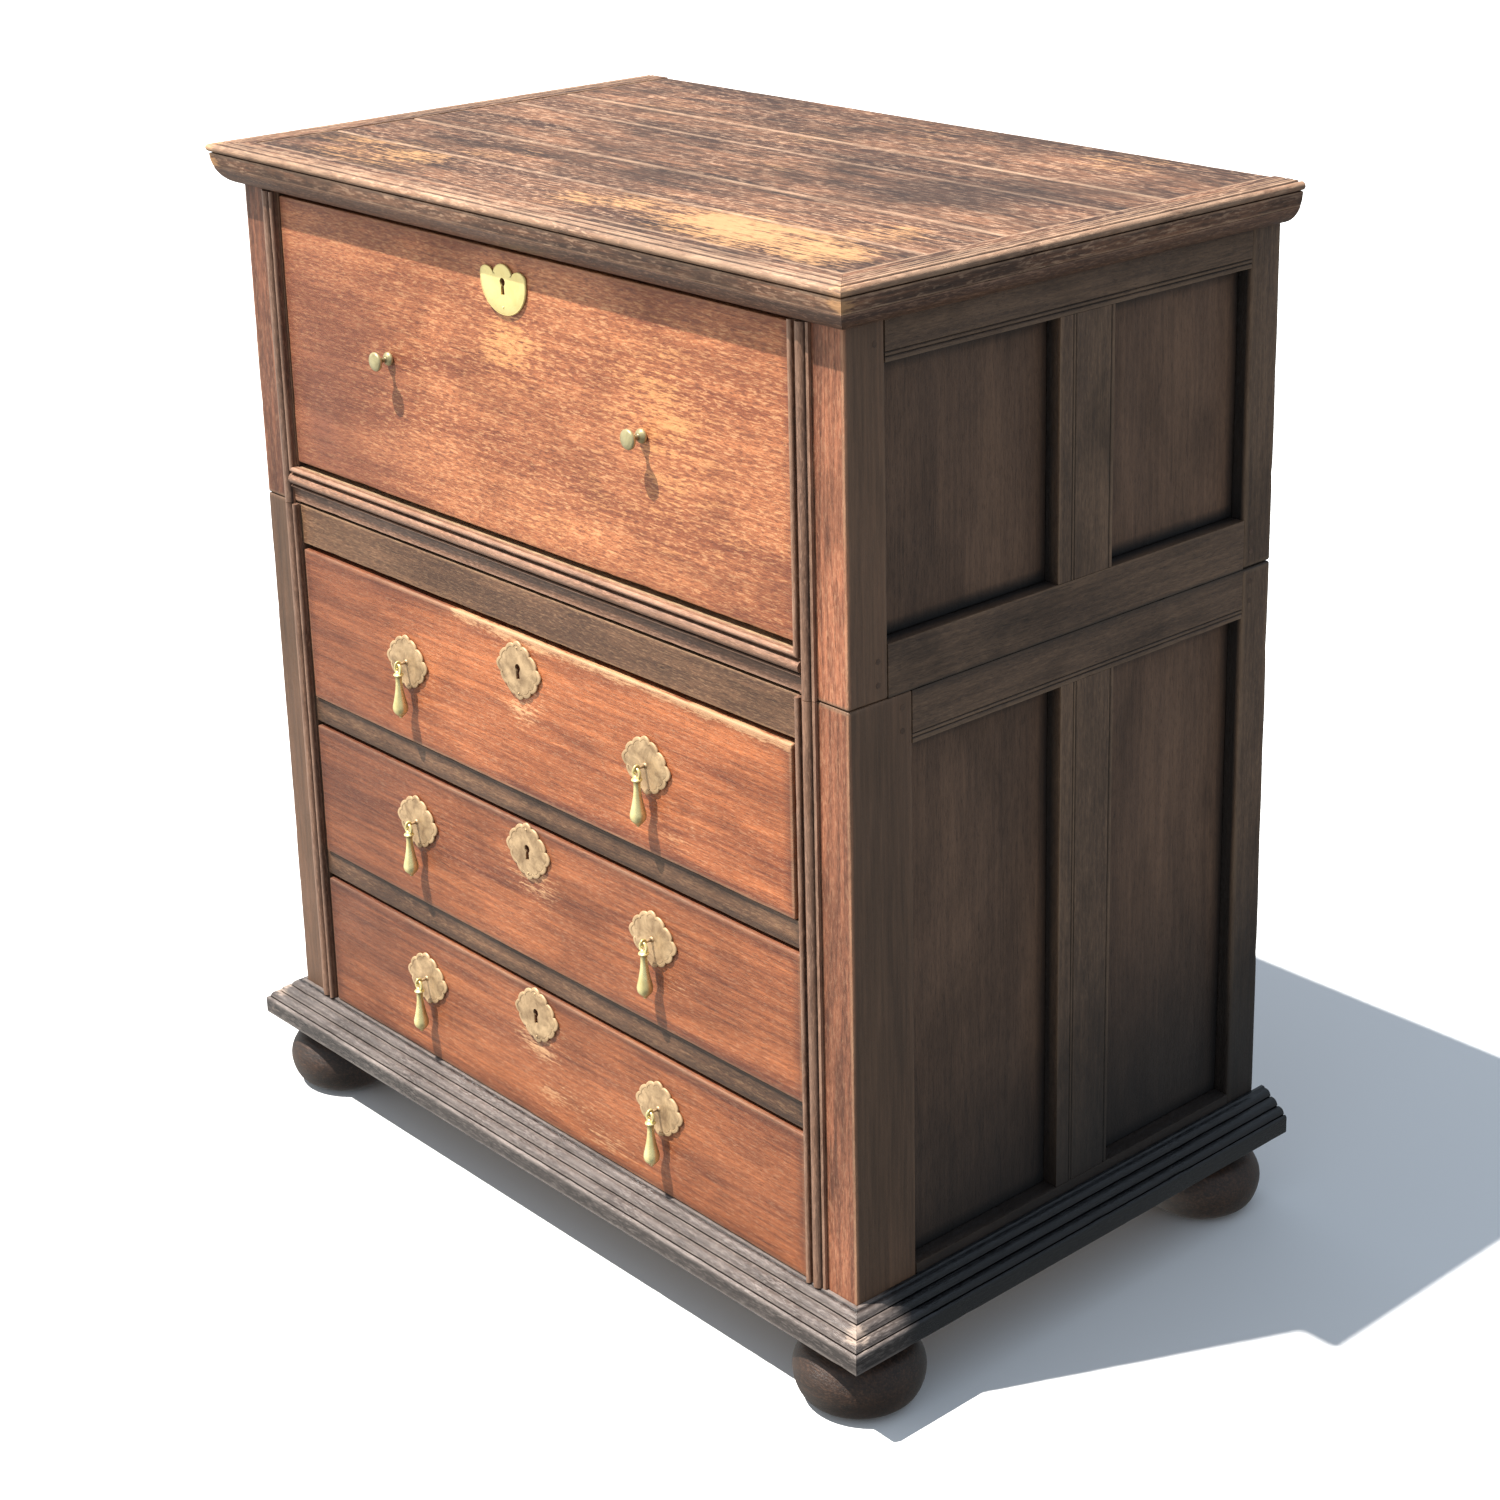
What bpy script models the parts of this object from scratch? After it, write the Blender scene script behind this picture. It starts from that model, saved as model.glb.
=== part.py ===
"""Oak secretary desk on bun feet, in two cases.

The upper case holds a deep secretary drawer whose front falls to make the writing surface.
The lower case holds three long drawers with brass drop pulls.
Metres, +Z up, front face towards -Y, origin on the floor under the middle of the desk.
"""

import math

import bmesh
import bpy
from mathutils import Matrix, Vector

# Overall sizes
CASE_WIDTH = 0.920
CASE_DEPTH = 0.574
FOOT_HEIGHT = 0.077
BASE_HEIGHT = 0.043
LOWER_HEIGHT = 0.588
UPPER_HEIGHT = 0.358
TOP_THICKNESS = 0.025
BASE_OVERHANG = 0.035
BACK_OVERHANG = 0.014
TOP_OVERHANG = 0.027
CORNICE_HEIGHT = 0.018
OVOLO_OVERHANG = 0.0245
OVOLO_HEIGHT = 0.0345
GAP = 0.0003

# Joinery
OPENING_HALF = 0.397
FRAME_THICKNESS = 0.025
REAR_STILE = 0.042
UPPER_POST_DEPTH = 0.048
LOWER_POST_DEPTH = 0.077
PANEL_RECESS = 0.016
PANEL_THICKNESS = 0.008
MUNTIN_WIDTH = 0.073
BACK_BOARD = 0.012
BEAD_WIDTH = 0.024
BEAD_PROUD = 0.008
SILL_HEIGHT = 0.042
TOP_RAIL_DEPTH = 0.030
UPPER_MUNTIN_START = 0.265
LOWER_MUNTIN_START = 0.270
BACK_INSET = 0.002
EASED_EDGE = 0.0015
BEAD_EDGE = 0.002
TOP_EDGE = 0.006

# Drawers
DRAWER_HEIGHTS = {"lower": 0.155, "middle": 0.155, "upper": 0.177}
DIVIDER_HEIGHT = 0.0285
RUNNER_WIDTH = 0.040
DIVIDER_DEPTH = 0.050
DRAWER_CLEARANCE = 0.0025
DRAWER_PROUD = 0.003
FRONT_THICKNESS = 0.020
FRONT_TOP_GAP = 0.0015
BOX_WALL = 0.010
BOX_SIDE_GAP = 0.0085
BOX_BACK_GAP = 0.014
BOX_TOP_DROP = 0.012

# Fall front and writing drawer
FALL_THICKNESS = 0.020
FALL_GAP = 0.0055
FALL_TOP_GAP = 0.004
SECRETARY_TOP_GAP = 0.008
SECRETARY_BACK_GAP = 0.006
SECRETARY_FRONT_GAP = 0.0005
WRITING_BOARD = 0.0155
SECRETARY_WALL = 0.012
HINGE_PIN_RADIUS = 0.003
HINGE_PIN_LENGTH = 0.010
HINGE_ARM_HALF = 0.0045
HINGE_ARM_THICKNESS = 0.0025
HINGE_ARM_LENGTH = 0.060
STAY_RADIUS = 0.150
STAY_HALF_WIDTH = 0.006
STAY_THICKNESS = 0.003
STAY_END_ANGLE = math.radians(12)
PIGEONHOLE_HALF = 0.368
PIGEONHOLE_DEPTH = 0.200
PIGEONHOLE_TOP_GAP = 0.008
PIGEONHOLE_BOARD = 0.006
SHELF_HEIGHT = 0.090
UPPER_HOLES = 5
LOWER_HOLES = 3

# Brasses
PULL_SPREAD = 0.195
PULL_SHIFT = -0.011
KNOB_SPREAD = 0.200
FALL_BRASS_SHIFT = -0.007
PLATE_THICKNESS = 0.0022
PLATE_HALF_WIDTH = 0.036
PLATE_HALF_HEIGHT = 0.030
PLATE_SCALLOPS = 12
ESCUTCHEON_HALF_WIDTH = 0.036
ESCUTCHEON_HALF_HEIGHT = 0.031
PLATE_STEPS = 48
PULL_RISE = {"lower": 0.017, "middle": 0.017, "upper": 0.003}
DRAWER_KEY_RISE = 0.049
DRAWER_KEY_OFFSET = 0.003
FALL_KEY_DROP = 0.0305
FALL_KEY_OFFSET = 0.001
KNOB_RISE = 0.003
PIVOT_STANDOFF = 0.0105
EYE_RADIUS = 0.0030
EYE_WIRE = 0.0012
LOOP_RADIUS = 0.0048
LOOP_WIRE = 0.0016

# Places worked out from the sizes above
HALF = CASE_WIDTH / 2
FRONT = BASE_OVERHANG - (BASE_OVERHANG + CASE_DEPTH + BACK_OVERHANG) / 2
BACK = FRONT + CASE_DEPTH
BASE_TOP = FOOT_HEIGHT + BASE_HEIGHT
SPLIT = BASE_TOP + LOWER_HEIGHT
CASE_TOP = SPLIT + UPPER_HEIGHT
TOP = CASE_TOP + TOP_THICKNESS
CORNICE_BOTTOM = CASE_TOP - CORNICE_HEIGHT
SILL_TOP = SPLIT + SILL_HEIGHT
FALL_BOTTOM = SILL_TOP + FALL_GAP
FALL_TOP = CORNICE_BOTTOM - FALL_TOP_GAP
PIN_Y = FRONT + FALL_THICKNESS / 2
PIN_Z = FALL_BOTTOM + FALL_THICKNESS / 2
WRITING_Z = FALL_BOTTOM + FALL_THICKNESS
FRONT_HALF = OPENING_HALF - DRAWER_CLEARANCE
BOX_HALF = OPENING_HALF - BOX_SIDE_GAP
SECRETARY_TOP = CORNICE_BOTTOM - SECRETARY_TOP_GAP
BACK_FACE = BACK - BACK_INSET - BACK_BOARD
SECRETARY_BACK = BACK_FACE - SECRETARY_BACK_GAP

FINISHES = {
    "front oak": ((0.42, 0.20, 0.10), 0.45, 0.0),
    "side oak": ((0.08, 0.055, 0.04), 0.50, 0.0),
    "top oak": ((0.26, 0.17, 0.11), 0.38, 0.0),
    "moulding oak": ((0.12, 0.075, 0.05), 0.42, 0.0),
    "inside oak": ((0.36, 0.24, 0.14), 0.65, 0.0),
    "bright brass": ((0.85, 0.70, 0.32), 0.25, 1.0),
    "dull brass": ((0.48, 0.36, 0.19), 0.45, 1.0),
}


def clear_scene():
    for old in list(bpy.data.objects):
        bpy.data.objects.remove(old)


def make_material(name, finish):
    colour, roughness, metallic = FINISHES[finish]
    material = bpy.data.materials.new(name)
    material.use_nodes = True
    shader = material.node_tree.nodes["Principled BSDF"]
    shader.inputs["Base Color"].default_value = (*colour, 1.0)
    shader.inputs["Roughness"].default_value = roughness
    shader.inputs["Metallic"].default_value = metallic
    return material


def make_object(name, bm, finish=None, smooth=False):
    """Turn a bmesh into a linked object; a finish makes it a part, no finish makes it a tool."""
    bmesh.ops.recalc_face_normals(bm, faces=bm.faces)
    mesh = bpy.data.meshes.new(name)
    bm.to_mesh(mesh)
    bm.free()
    if smooth:
        mesh.shade_smooth()
        mesh.set_sharp_from_angle(angle=math.radians(40))
    made = bpy.data.objects.new(name, mesh)
    bpy.context.collection.objects.link(made)
    if finish:
        mesh.materials.append(make_material(name + "_finish", finish))
    return made


def add_ring(bm, points):
    return [bm.verts.new(point) for point in points]


def bridge(bm, ring_a, ring_b):
    count = len(ring_a)
    for index in range(count):
        after = (index + 1) % count
        bm.faces.new((ring_a[index], ring_a[after], ring_b[after], ring_b[index]))


def prism(outline, place, start, end):
    """Extrude an outline: place(u, v, w) gives the point at outline place u, v and depth w."""
    bm = bmesh.new()
    ring_a = add_ring(bm, [place(u, v, start) for u, v in outline])
    ring_b = add_ring(bm, [place(u, v, end) for u, v in outline])
    bridge(bm, ring_a, ring_b)
    bm.faces.new(ring_a)
    bm.faces.new(ring_b)
    return bm


def block(low, high):
    outline = [(low[0], low[1]), (high[0], low[1]), (high[0], high[1]), (low[0], high[1])]
    return prism(outline, lambda x, y, z: (x, y, z), low[2], high[2])


def combine(target, other, operation):
    """Join or cut the target with another solid, keep the result and drop the other."""
    modifier = target.modifiers.new(operation, "BOOLEAN")
    modifier.operation = operation
    modifier.object = other
    bpy.context.view_layer.update()
    evaluated = target.evaluated_get(bpy.context.evaluated_depsgraph_get())
    result = bpy.data.meshes.new_from_object(evaluated)
    target.modifiers.clear()
    target.data = result
    bpy.data.objects.remove(other)


def ease_edges(target, width=EASED_EDGE, segments=1):
    bevel = target.modifiers.new("eased edges", "BEVEL")
    bevel.width = width
    bevel.segments = segments
    bevel.limit_method = "ANGLE"


def board(name, low, high, finish, width=EASED_EDGE):
    made = make_object(name, block(low, high), finish)
    ease_edges(made, width)
    return made


def hollowed(name, low, high, hollows, finish):
    """A solid block with boxes cut out of it, one after another."""
    made = make_object(name, block(low, high), finish)
    for hollow_low, hollow_high in hollows:
        combine(made, make_object("cutter", block(hollow_low, hollow_high)), "DIFFERENCE")
    return made


def turned(name, profile, segments, place, finish=None):
    """Turn a profile of (radius, height) pairs; its first and last radius are zero."""
    bm = bmesh.new()
    start = bm.verts.new(place(0.0, 0.0, profile[0][1]))
    end = bm.verts.new(place(0.0, 0.0, profile[-1][1]))
    rings = []
    for radius, height in profile[1:-1]:
        angles = [2 * math.pi * step / segments for step in range(segments)]
        rings.append(add_ring(bm, [
            place(radius * math.cos(a), radius * math.sin(a), height) for a in angles]))
    for ring_a, ring_b in zip(rings, rings[1:]):
        bridge(bm, ring_a, ring_b)
    for pole, ring in ((start, rings[0]), (end, rings[-1])):
        for index in range(segments):
            bm.faces.new((pole, ring[index], ring[(index + 1) % segments]))
    return make_object(name, bm, finish, smooth=True)


def torus(name, radius, wire, steps, sides, place):
    """A wire ring: place(u, v, w) takes u, v in the ring's plane and w across it."""
    bm = bmesh.new()
    rings = []
    for step in range(steps):
        around = 2 * math.pi * step / steps
        points = []
        for side in range(sides):
            turn = 2 * math.pi * side / sides
            reach = radius + wire * math.cos(turn)
            points.append(place(reach * math.cos(around), reach * math.sin(around),
                                wire * math.sin(turn)))
        rings.append(add_ring(bm, points))
    for index in range(steps):
        bridge(bm, rings[index], rings[(index + 1) % steps])
    return make_object(name, bm, smooth=True)


def arc(centre, radius, start, end, steps):
    """Points of an arc from a start angle to an end angle, in radians."""
    turn = (end - start) / steps
    return [(centre[0] + radius * math.cos(start + turn * step),
             centre[1] + radius * math.sin(start + turn * step)) for step in range(steps + 1)]


def pivot(name, location, parent=None):
    """An empty on a joint's axis, which carries the pieces that move with it."""
    empty = bpy.data.objects.new(name, None)
    bpy.context.collection.objects.link(empty)
    empty.location = Vector(location) - (parent.matrix_world.translation if parent else Vector())
    empty.parent = parent
    bpy.context.view_layer.update()
    return empty


def carry(piece, empty):
    piece.parent = empty
    piece.matrix_parent_inverse = Matrix.Translation(-empty.matrix_world.translation)


# Corners of a case as functions of how far a moulding stands out from it
def front_left(out):
    return -HALF - out, FRONT - out


def front_right(out):
    return HALF + out, FRONT - out


def side_run(side, out, back):
    """A side moulding's two ends: the mitre, a little behind the front piece's, and the back."""
    return (side * (HALF + out), FRONT - out + GAP), (side * (HALF + out), back)


def mouldings(name, profile, back, finish):
    """Front, left and right lengths of one moulding, mitred at the front corners."""
    runs = {
        "front": [(front_left(out), front_right(out)) for out, _ in profile],
        "left": [side_run(-1, out, back) for out, _ in profile],
        "right": [side_run(1, out, back) for out, _ in profile],
    }
    for part, ends in runs.items():
        bm = bmesh.new()
        rings = []
        for which in (0, 1):
            rings.append(add_ring(bm, [
                (*ends[index][which], height) for index, (_, height) in enumerate(profile)]))
        bridge(bm, *rings)
        bm.faces.new(rings[0])
        bm.faces.new(rings[1])
        make_object(f"{name}_{part}", bm, finish)


def cornice_profile():
    """The lower part of an ovolo that swells out from the case to the edge of the top board."""
    steps = 6
    points = [(GAP, CASE_TOP)]
    for step in range(steps + 1):
        rise = CORNICE_HEIGHT * (step / steps) ** 2
        out = OVOLO_OVERHANG * math.sqrt(1 - (1 - rise / OVOLO_HEIGHT) ** 2)
        points.append((GAP + out, CORNICE_BOTTOM + rise))
    return points


def base_profile():
    """Three reeds down a slope, then an upright fascia."""
    reeds = 3
    steps = 4
    fascia_top = FOOT_HEIGHT + 0.021
    start = Vector((GAP, BASE_TOP))
    end = Vector((BASE_OVERHANG, fascia_top))
    normal = Vector((start.y - end.y, end.x - start.x)).normalized()
    points = [(GAP, FOOT_HEIGHT), (GAP, BASE_TOP)]
    for reed in range(reeds):
        for step in range(1, steps + 1):
            along = (reed + step / steps) / reeds
            bulge = 0.0022 * math.sin(math.pi * step / steps)
            point = start.lerp(end, along) + normal * bulge
            points.append((min(point.x, BASE_OVERHANG), min(point.y, BASE_TOP)))
    points.append((BASE_OVERHANG, FOOT_HEIGHT))
    return points


def side_frame(name, side, low, high, post_depth, lower_rail, upper_rail):
    """Front post, rear stile and two rails of one case's side."""
    inner = HALF - FRAME_THICKNESS
    reach = 0.010
    hollow_x = sorted((side * (OPENING_HALF - reach), side * inner))
    window_x = sorted((side * (OPENING_HALF - reach), side * (HALF + reach)))
    block_x = sorted((side * OPENING_HALF, side * HALF))
    hollows = [
        ((hollow_x[0], FRONT + post_depth, low - reach), (hollow_x[1], BACK + reach, high + reach)),
        ((window_x[0], FRONT + post_depth, low + lower_rail),
         (window_x[1], BACK - REAR_STILE, high - upper_rail)),
    ]
    hollowed(name, (block_x[0], FRONT, low), (block_x[1], BACK, high), hollows, "side oak")


def side_panels(name, side, low, high, post_depth, muntin_start):
    """Two thin panels with the muntin between them, in plan, run up the side's opening."""
    start = FRONT + post_depth + GAP
    end = BACK - REAR_STILE - GAP
    muntin_front = FRONT + muntin_start
    muntin_back = muntin_front + MUNTIN_WIDTH
    face = HALF - PANEL_RECESS
    back = face - PANEL_THICKNESS
    muntin_inner = HALF - FRAME_THICKNESS
    muntin_outer = HALF - GAP
    plan = [
        (face, start), (face, muntin_front), (muntin_outer, muntin_front),
        (muntin_outer, muntin_back), (face, muntin_back), (face, end),
        (back, end), (back, muntin_back), (muntin_inner, muntin_back),
        (muntin_inner, muntin_front), (back, muntin_front), (back, start),
    ]
    bm = prism(plan, lambda x, y, z: (side * x, y, z), low + GAP, high - GAP)
    make_object(name, bm, "side oak")


def build_sides():
    upper_rail_low = 0.050
    upper_rail_high = 0.056
    lower_rail_low = 0.053
    lower_rail_high = 0.050
    for side, word in ((-1, "left"), (1, "right")):
        side_frame(f"lower_side_frame_{word}", side, FOOT_HEIGHT + GAP, SPLIT - GAP,
                   LOWER_POST_DEPTH, lower_rail_low, lower_rail_high)
        side_panels(f"lower_side_panels_{word}", side, FOOT_HEIGHT + GAP + lower_rail_low,
                    SPLIT - GAP - lower_rail_high, LOWER_POST_DEPTH, LOWER_MUNTIN_START)
        side_frame(f"upper_side_frame_{word}", side, SPLIT + GAP, CASE_TOP,
                   UPPER_POST_DEPTH, upper_rail_low, upper_rail_high)
        side_panels(f"upper_side_panels_{word}", side, SPLIT + GAP + upper_rail_low,
                    CASE_TOP - upper_rail_high, UPPER_POST_DEPTH, UPPER_MUNTIN_START)


def build_top():
    top = make_object("top_board", block(
        (-HALF - TOP_OVERHANG, FRONT - TOP_OVERHANG, CASE_TOP + GAP),
        (HALF + TOP_OVERHANG, BACK, TOP)), "top oak")
    ease_edges(top, TOP_EDGE, 3)
    mouldings("cornice", cornice_profile(), BACK, "moulding oak")


def build_upper_case():
    build_floor()
    inner = HALF - FRAME_THICKNESS - GAP
    board("upper_back", (-inner, BACK_FACE, SPLIT + 2 * GAP),
          (inner, BACK_FACE + BACK_BOARD, CASE_TOP - GAP), "inside oak")
    build_front_moulding()


def build_floor():
    """The board under the writing drawer, thicker all round its edges."""
    rim = 0.022
    thickness = 0.016
    low = (-OPENING_HALF + GAP, FRONT, SPLIT + GAP)
    high = (OPENING_HALF - GAP, BACK_FACE - GAP, SILL_TOP - GAP)
    under = ((low[0] + rim, low[1] + rim, low[2] - rim),
             (high[0] - rim, high[1] - rim, high[2] - thickness))
    hollowed("upper_floor", low, high, [under], "inside oak")


def build_front_moulding():
    """Bead strips on both posts with the sill moulding between them, as one frame."""
    inner = OPENING_HALF + GAP
    outer = OPENING_HALF + BEAD_WIDTH
    top = CORNICE_BOTTOM - 2 * GAP
    outline = [
        (-outer, SPLIT + GAP), (outer, SPLIT + GAP), (outer, top), (inner, top),
        (inner, SILL_TOP), (-inner, SILL_TOP), (-inner, top), (-outer, top),
    ]
    bm = prism(outline, lambda x, z, y: (x, y, z), FRONT - BEAD_PROUD, FRONT - GAP)
    made = make_object("upper_front_moulding", bm, "moulding oak")
    ease_edges(made, BEAD_EDGE)


def divider(name, top):
    """A front rail with a drawer runner along each side."""
    outer = OPENING_HALF - GAP
    inner = outer - RUNNER_WIDTH
    rail_back = FRONT + DIVIDER_DEPTH
    back = BACK_FACE - GAP
    plan = [
        (-outer, FRONT), (outer, FRONT), (outer, back), (inner, back),
        (inner, rail_back), (-inner, rail_back), (-inner, back), (-outer, back),
    ]
    bm = prism(plan, lambda x, y, z: (x, y, z), top - DIVIDER_HEIGHT, top)
    made = make_object(name, bm, "moulding oak")
    ease_edges(made)


def build_bottom_board():
    """The board under the lowest drawer, narrower at the front where it passes the posts."""
    thickness = 0.020
    narrow = OPENING_HALF - GAP
    wide = HALF - FRAME_THICKNESS - GAP
    shoulder = FRONT + LOWER_POST_DEPTH + GAP
    back = BACK_FACE - GAP
    plan = [
        (-narrow, FRONT), (narrow, FRONT), (narrow, shoulder), (wide, shoulder),
        (wide, back), (-wide, back), (-wide, shoulder), (-narrow, shoulder),
    ]
    bm = prism(plan, lambda x, y, z: (x, y, z), BASE_TOP - thickness, BASE_TOP - GAP)
    make_object("lower_bottom_board", bm, "inside oak")


def build_lower_case():
    build_bottom_board()
    inner = HALF - FRAME_THICKNESS - GAP
    board("lower_back", (-inner, BACK_FACE, FOOT_HEIGHT + 2 * GAP),
          (inner, BACK_FACE + BACK_BOARD, SPLIT - 2 * GAP), "inside oak")
    rail_low = drawer_floor("upper") + DRAWER_HEIGHTS["upper"]
    board("lower_top_rail", (-OPENING_HALF + GAP, FRONT, rail_low),
          (OPENING_HALF - GAP, FRONT + TOP_RAIL_DEPTH, SPLIT - GAP), "moulding oak")
    divider("drawer_divider_lower", drawer_floor("middle"))
    divider("drawer_divider_upper", drawer_floor("upper"))
    for side, word in ((-1, "left"), (1, "right")):
        xs = sorted((side * (OPENING_HALF + GAP), side * (OPENING_HALF + BEAD_WIDTH)))
        board(f"lower_bead_{word}", (xs[0], FRONT - BEAD_PROUD, BASE_TOP + GAP),
              (xs[1], FRONT - GAP, SPLIT - GAP), "moulding oak", BEAD_EDGE)
    mouldings("base_moulding", base_profile(), BACK + BACK_OVERHANG, "moulding oak")


def drawer_floor(level):
    """Height of the runner or board that a long drawer slides on."""
    height = BASE_TOP
    for name, drawer_height in DRAWER_HEIGHTS.items():
        if name == level:
            return height
        height += drawer_height + DIVIDER_HEIGHT


def build_feet():
    """Squashed turned balls, each with a flat underside and a short neck under the moulding."""
    radius = 0.064
    core = 0.026
    middle = 0.032
    half_height = 0.031
    flat_radius = 0.046
    neck = 0.042
    neck_height = 0.062
    segments = 20
    profile = [(0.0, 0.0), (flat_radius, 0.0)]
    for out, up in arc((0, 0), 1.0, math.radians(-58), math.radians(60), 7):
        profile.append((core + (radius - core) * out, middle + half_height * up))
    profile += [(neck, neck_height), (neck, FOOT_HEIGHT - GAP), (0.0, FOOT_HEIGHT - GAP)]
    reach_x = HALF + BASE_OVERHANG - radius
    front_y = FRONT - BASE_OVERHANG + radius
    back_y = BACK + BACK_OVERHANG - radius
    for side, word in ((-1, "left"), (1, "right")):
        for y, end in ((front_y, "front"), (back_y, "back")):
            turned(f"foot_{end}_{word}", profile, segments,
                   lambda u, v, h, x=side * reach_x, y=y: (x + u, y + v, h), "moulding oak")


def lozenge(half_width, half_height):
    """A scalloped lozenge: between a diamond and an oval, with round lobes along its edge."""
    fullness = 1.45
    lobe_depth = 0.07
    points = []
    for step in range(PLATE_STEPS):
        angle = 2 * math.pi * step / PLATE_STEPS
        across = abs(math.cos(angle) / half_width) ** fullness
        up = abs(math.sin(angle) / half_height) ** fullness
        reach = (across + up) ** (-1 / fullness)
        lobe = 1 - lobe_depth + lobe_depth * abs(math.cos(angle * PLATE_SCALLOPS / 2))
        points.append((reach * lobe * math.cos(angle), reach * lobe * math.sin(angle)))
    return points


def shield(half_width, drop, rise):
    """A round-bottomed shield with one wide and two narrow scallops along its top."""
    points = arc((0, 0), 1.0, math.pi, 2 * math.pi, 20)
    points = [(half_width * u, drop * v) for u, v in points]
    wide = 0.56
    narrow = (1 - wide) / 2
    shoulder = 0.45 * rise
    scallops = ((1 - narrow, narrow), (0.0, wide), (narrow - 1, narrow))
    bump = arc((0, 0), 1.0, 0.0, math.pi, 8)
    for index, (centre, reach) in enumerate(scallops):
        height = (rise - shoulder) * reach / wide
        points += [(half_width * (centre + reach * u), shoulder + height * v)
                   for u, v in bump[min(index, 1):]]
    return points


def keyhole():
    """Round top and straight slot, as one outline."""
    radius = 0.0032
    slot = 0.0021
    length = 0.017
    half_open = math.asin(slot / radius)
    around = arc((0, 0), radius, -math.pi / 2 + half_open, 3 * math.pi / 2 - half_open, 12)
    return [(slot, -length)] + around + [(-slot, -length)]


def brass_plate(name, outline, x, face, z, finish):
    """A thin plate with a sloping edge, its back on the face it is fixed to."""
    bm = bmesh.new()
    rings = []
    rim = 0.92
    for inset, depth in ((1.0, GAP), (1.0, PLATE_THICKNESS / 2), (rim, PLATE_THICKNESS)):
        rings.append(add_ring(bm, [(x + inset * u, face - depth, z + inset * v) for u, v in outline]))
    for ring_a, ring_b in zip(rings, rings[1:]):
        bridge(bm, ring_a, ring_b)
    bm.faces.new(rings[0])
    bm.faces.new(rings[-1])
    return make_object(name, bm, finish)


def escutcheon(name, outline, x, face, z, key_z, finish):
    made = brass_plate(name, outline, x, face, z, finish)
    reach = 0.010
    cutter = prism(keyhole(), lambda u, v, y: (x + u, y, key_z + v), face - reach, face + reach)
    combine(made, make_object("cutter", cutter), "DIFFERENCE")
    return made


def pull_plate(name, x, face, z):
    """A scalloped back plate with the eye that the drop hangs in."""
    plate = brass_plate(name, lozenge(PLATE_HALF_WIDTH, PLATE_HALF_HEIGHT), x, face, z, "dull brass")
    front = face - PLATE_THICKNESS
    pivot_y = front - PIVOT_STANDOFF
    shank_radius = 0.0013
    length = PIVOT_STANDOFF - 0.001
    rooted = front + 0.001
    shank = turned("tool", [(0, 0), (shank_radius, 0), (shank_radius, length), (0, length)], 8,
                   lambda u, v, h: (x + u, rooted - h, z + v))
    combine(plate, shank, "UNION")
    eye = torus("tool", EYE_RADIUS, EYE_WIRE, 12, 5,
                lambda u, v, w: (x + w, pivot_y + u, z + v))
    combine(plate, eye, "UNION")
    return plate, (x, pivot_y, z)


def drop_pull(name, place):
    """A pear-shaped drop under a small ring, hanging from the middle of the ring's top."""
    profile = [
        (0.0, -0.0084), (0.0046, -0.0092), (0.0052, -0.0107), (0.0046, -0.0122),
        (0.0034, -0.0137), (0.0036, -0.0220), (0.0048, -0.0310), (0.0066, -0.0390),
        (0.0080, -0.0455), (0.0081, -0.0490), (0.0066, -0.0530), (0.0040, -0.0560),
        (0.0018, -0.0578), (0.0, -0.0590),
    ]
    drop = turned(name, profile, 12, lambda u, v, h: (u, v, h), "bright brass")
    loop = torus("tool", LOOP_RADIUS, LOOP_WIRE, 14, 5,
                 lambda u, v, w: (u, w, v - LOOP_RADIUS))
    combine(drop, loop, "UNION")
    drop.location = place
    return drop


def build_drawer(level):
    height = DRAWER_HEIGHTS[level]
    low = drawer_floor(level)
    middle = low + height / 2
    face = FRONT - DRAWER_PROUD
    back_of_front = face + FRONT_THICKNESS
    empty = pivot(f"drawer_{level}_slide", (0.0, face, middle))
    front = board(f"drawer_front_{level}", (-FRONT_HALF, face, low + 2 * GAP),
                  (FRONT_HALF, back_of_front, low + height - FRONT_TOP_GAP), "front oak")
    box_low = (-BOX_HALF, back_of_front + GAP, low + 2 * GAP)
    box_high = (BOX_HALF, BACK_FACE - BOX_BACK_GAP, low + height - BOX_TOP_DROP)
    inside = ((box_low[0] + BOX_WALL, box_low[1] + BOX_WALL, box_low[2] + BOX_WALL),
              (box_high[0] - BOX_WALL, box_high[1] - BOX_WALL, box_high[2] + BOX_WALL))
    box = hollowed(f"drawer_box_{level}", box_low, box_high, [inside], "inside oak")
    key_z = middle + DRAWER_KEY_RISE
    outline = lozenge(ESCUTCHEON_HALF_WIDTH, ESCUTCHEON_HALF_HEIGHT)
    plate = escutcheon(f"drawer_escutcheon_{level}", outline, PULL_SHIFT, face,
                       key_z - DRAWER_KEY_OFFSET, key_z, "dull brass")
    for piece in (front, box, plate):
        carry(piece, empty)
    pull_z = middle + PULL_RISE[level]
    for side, word in ((-1, "left"), (1, "right")):
        plate, hang = pull_plate(f"pull_plate_{level}_{word}", PULL_SHIFT + side * PULL_SPREAD, face,
                                 pull_z)
        drop = drop_pull(f"drop_pull_{level}_{word}", hang)
        carry(plate, empty)
        carry(drop, empty)


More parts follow.
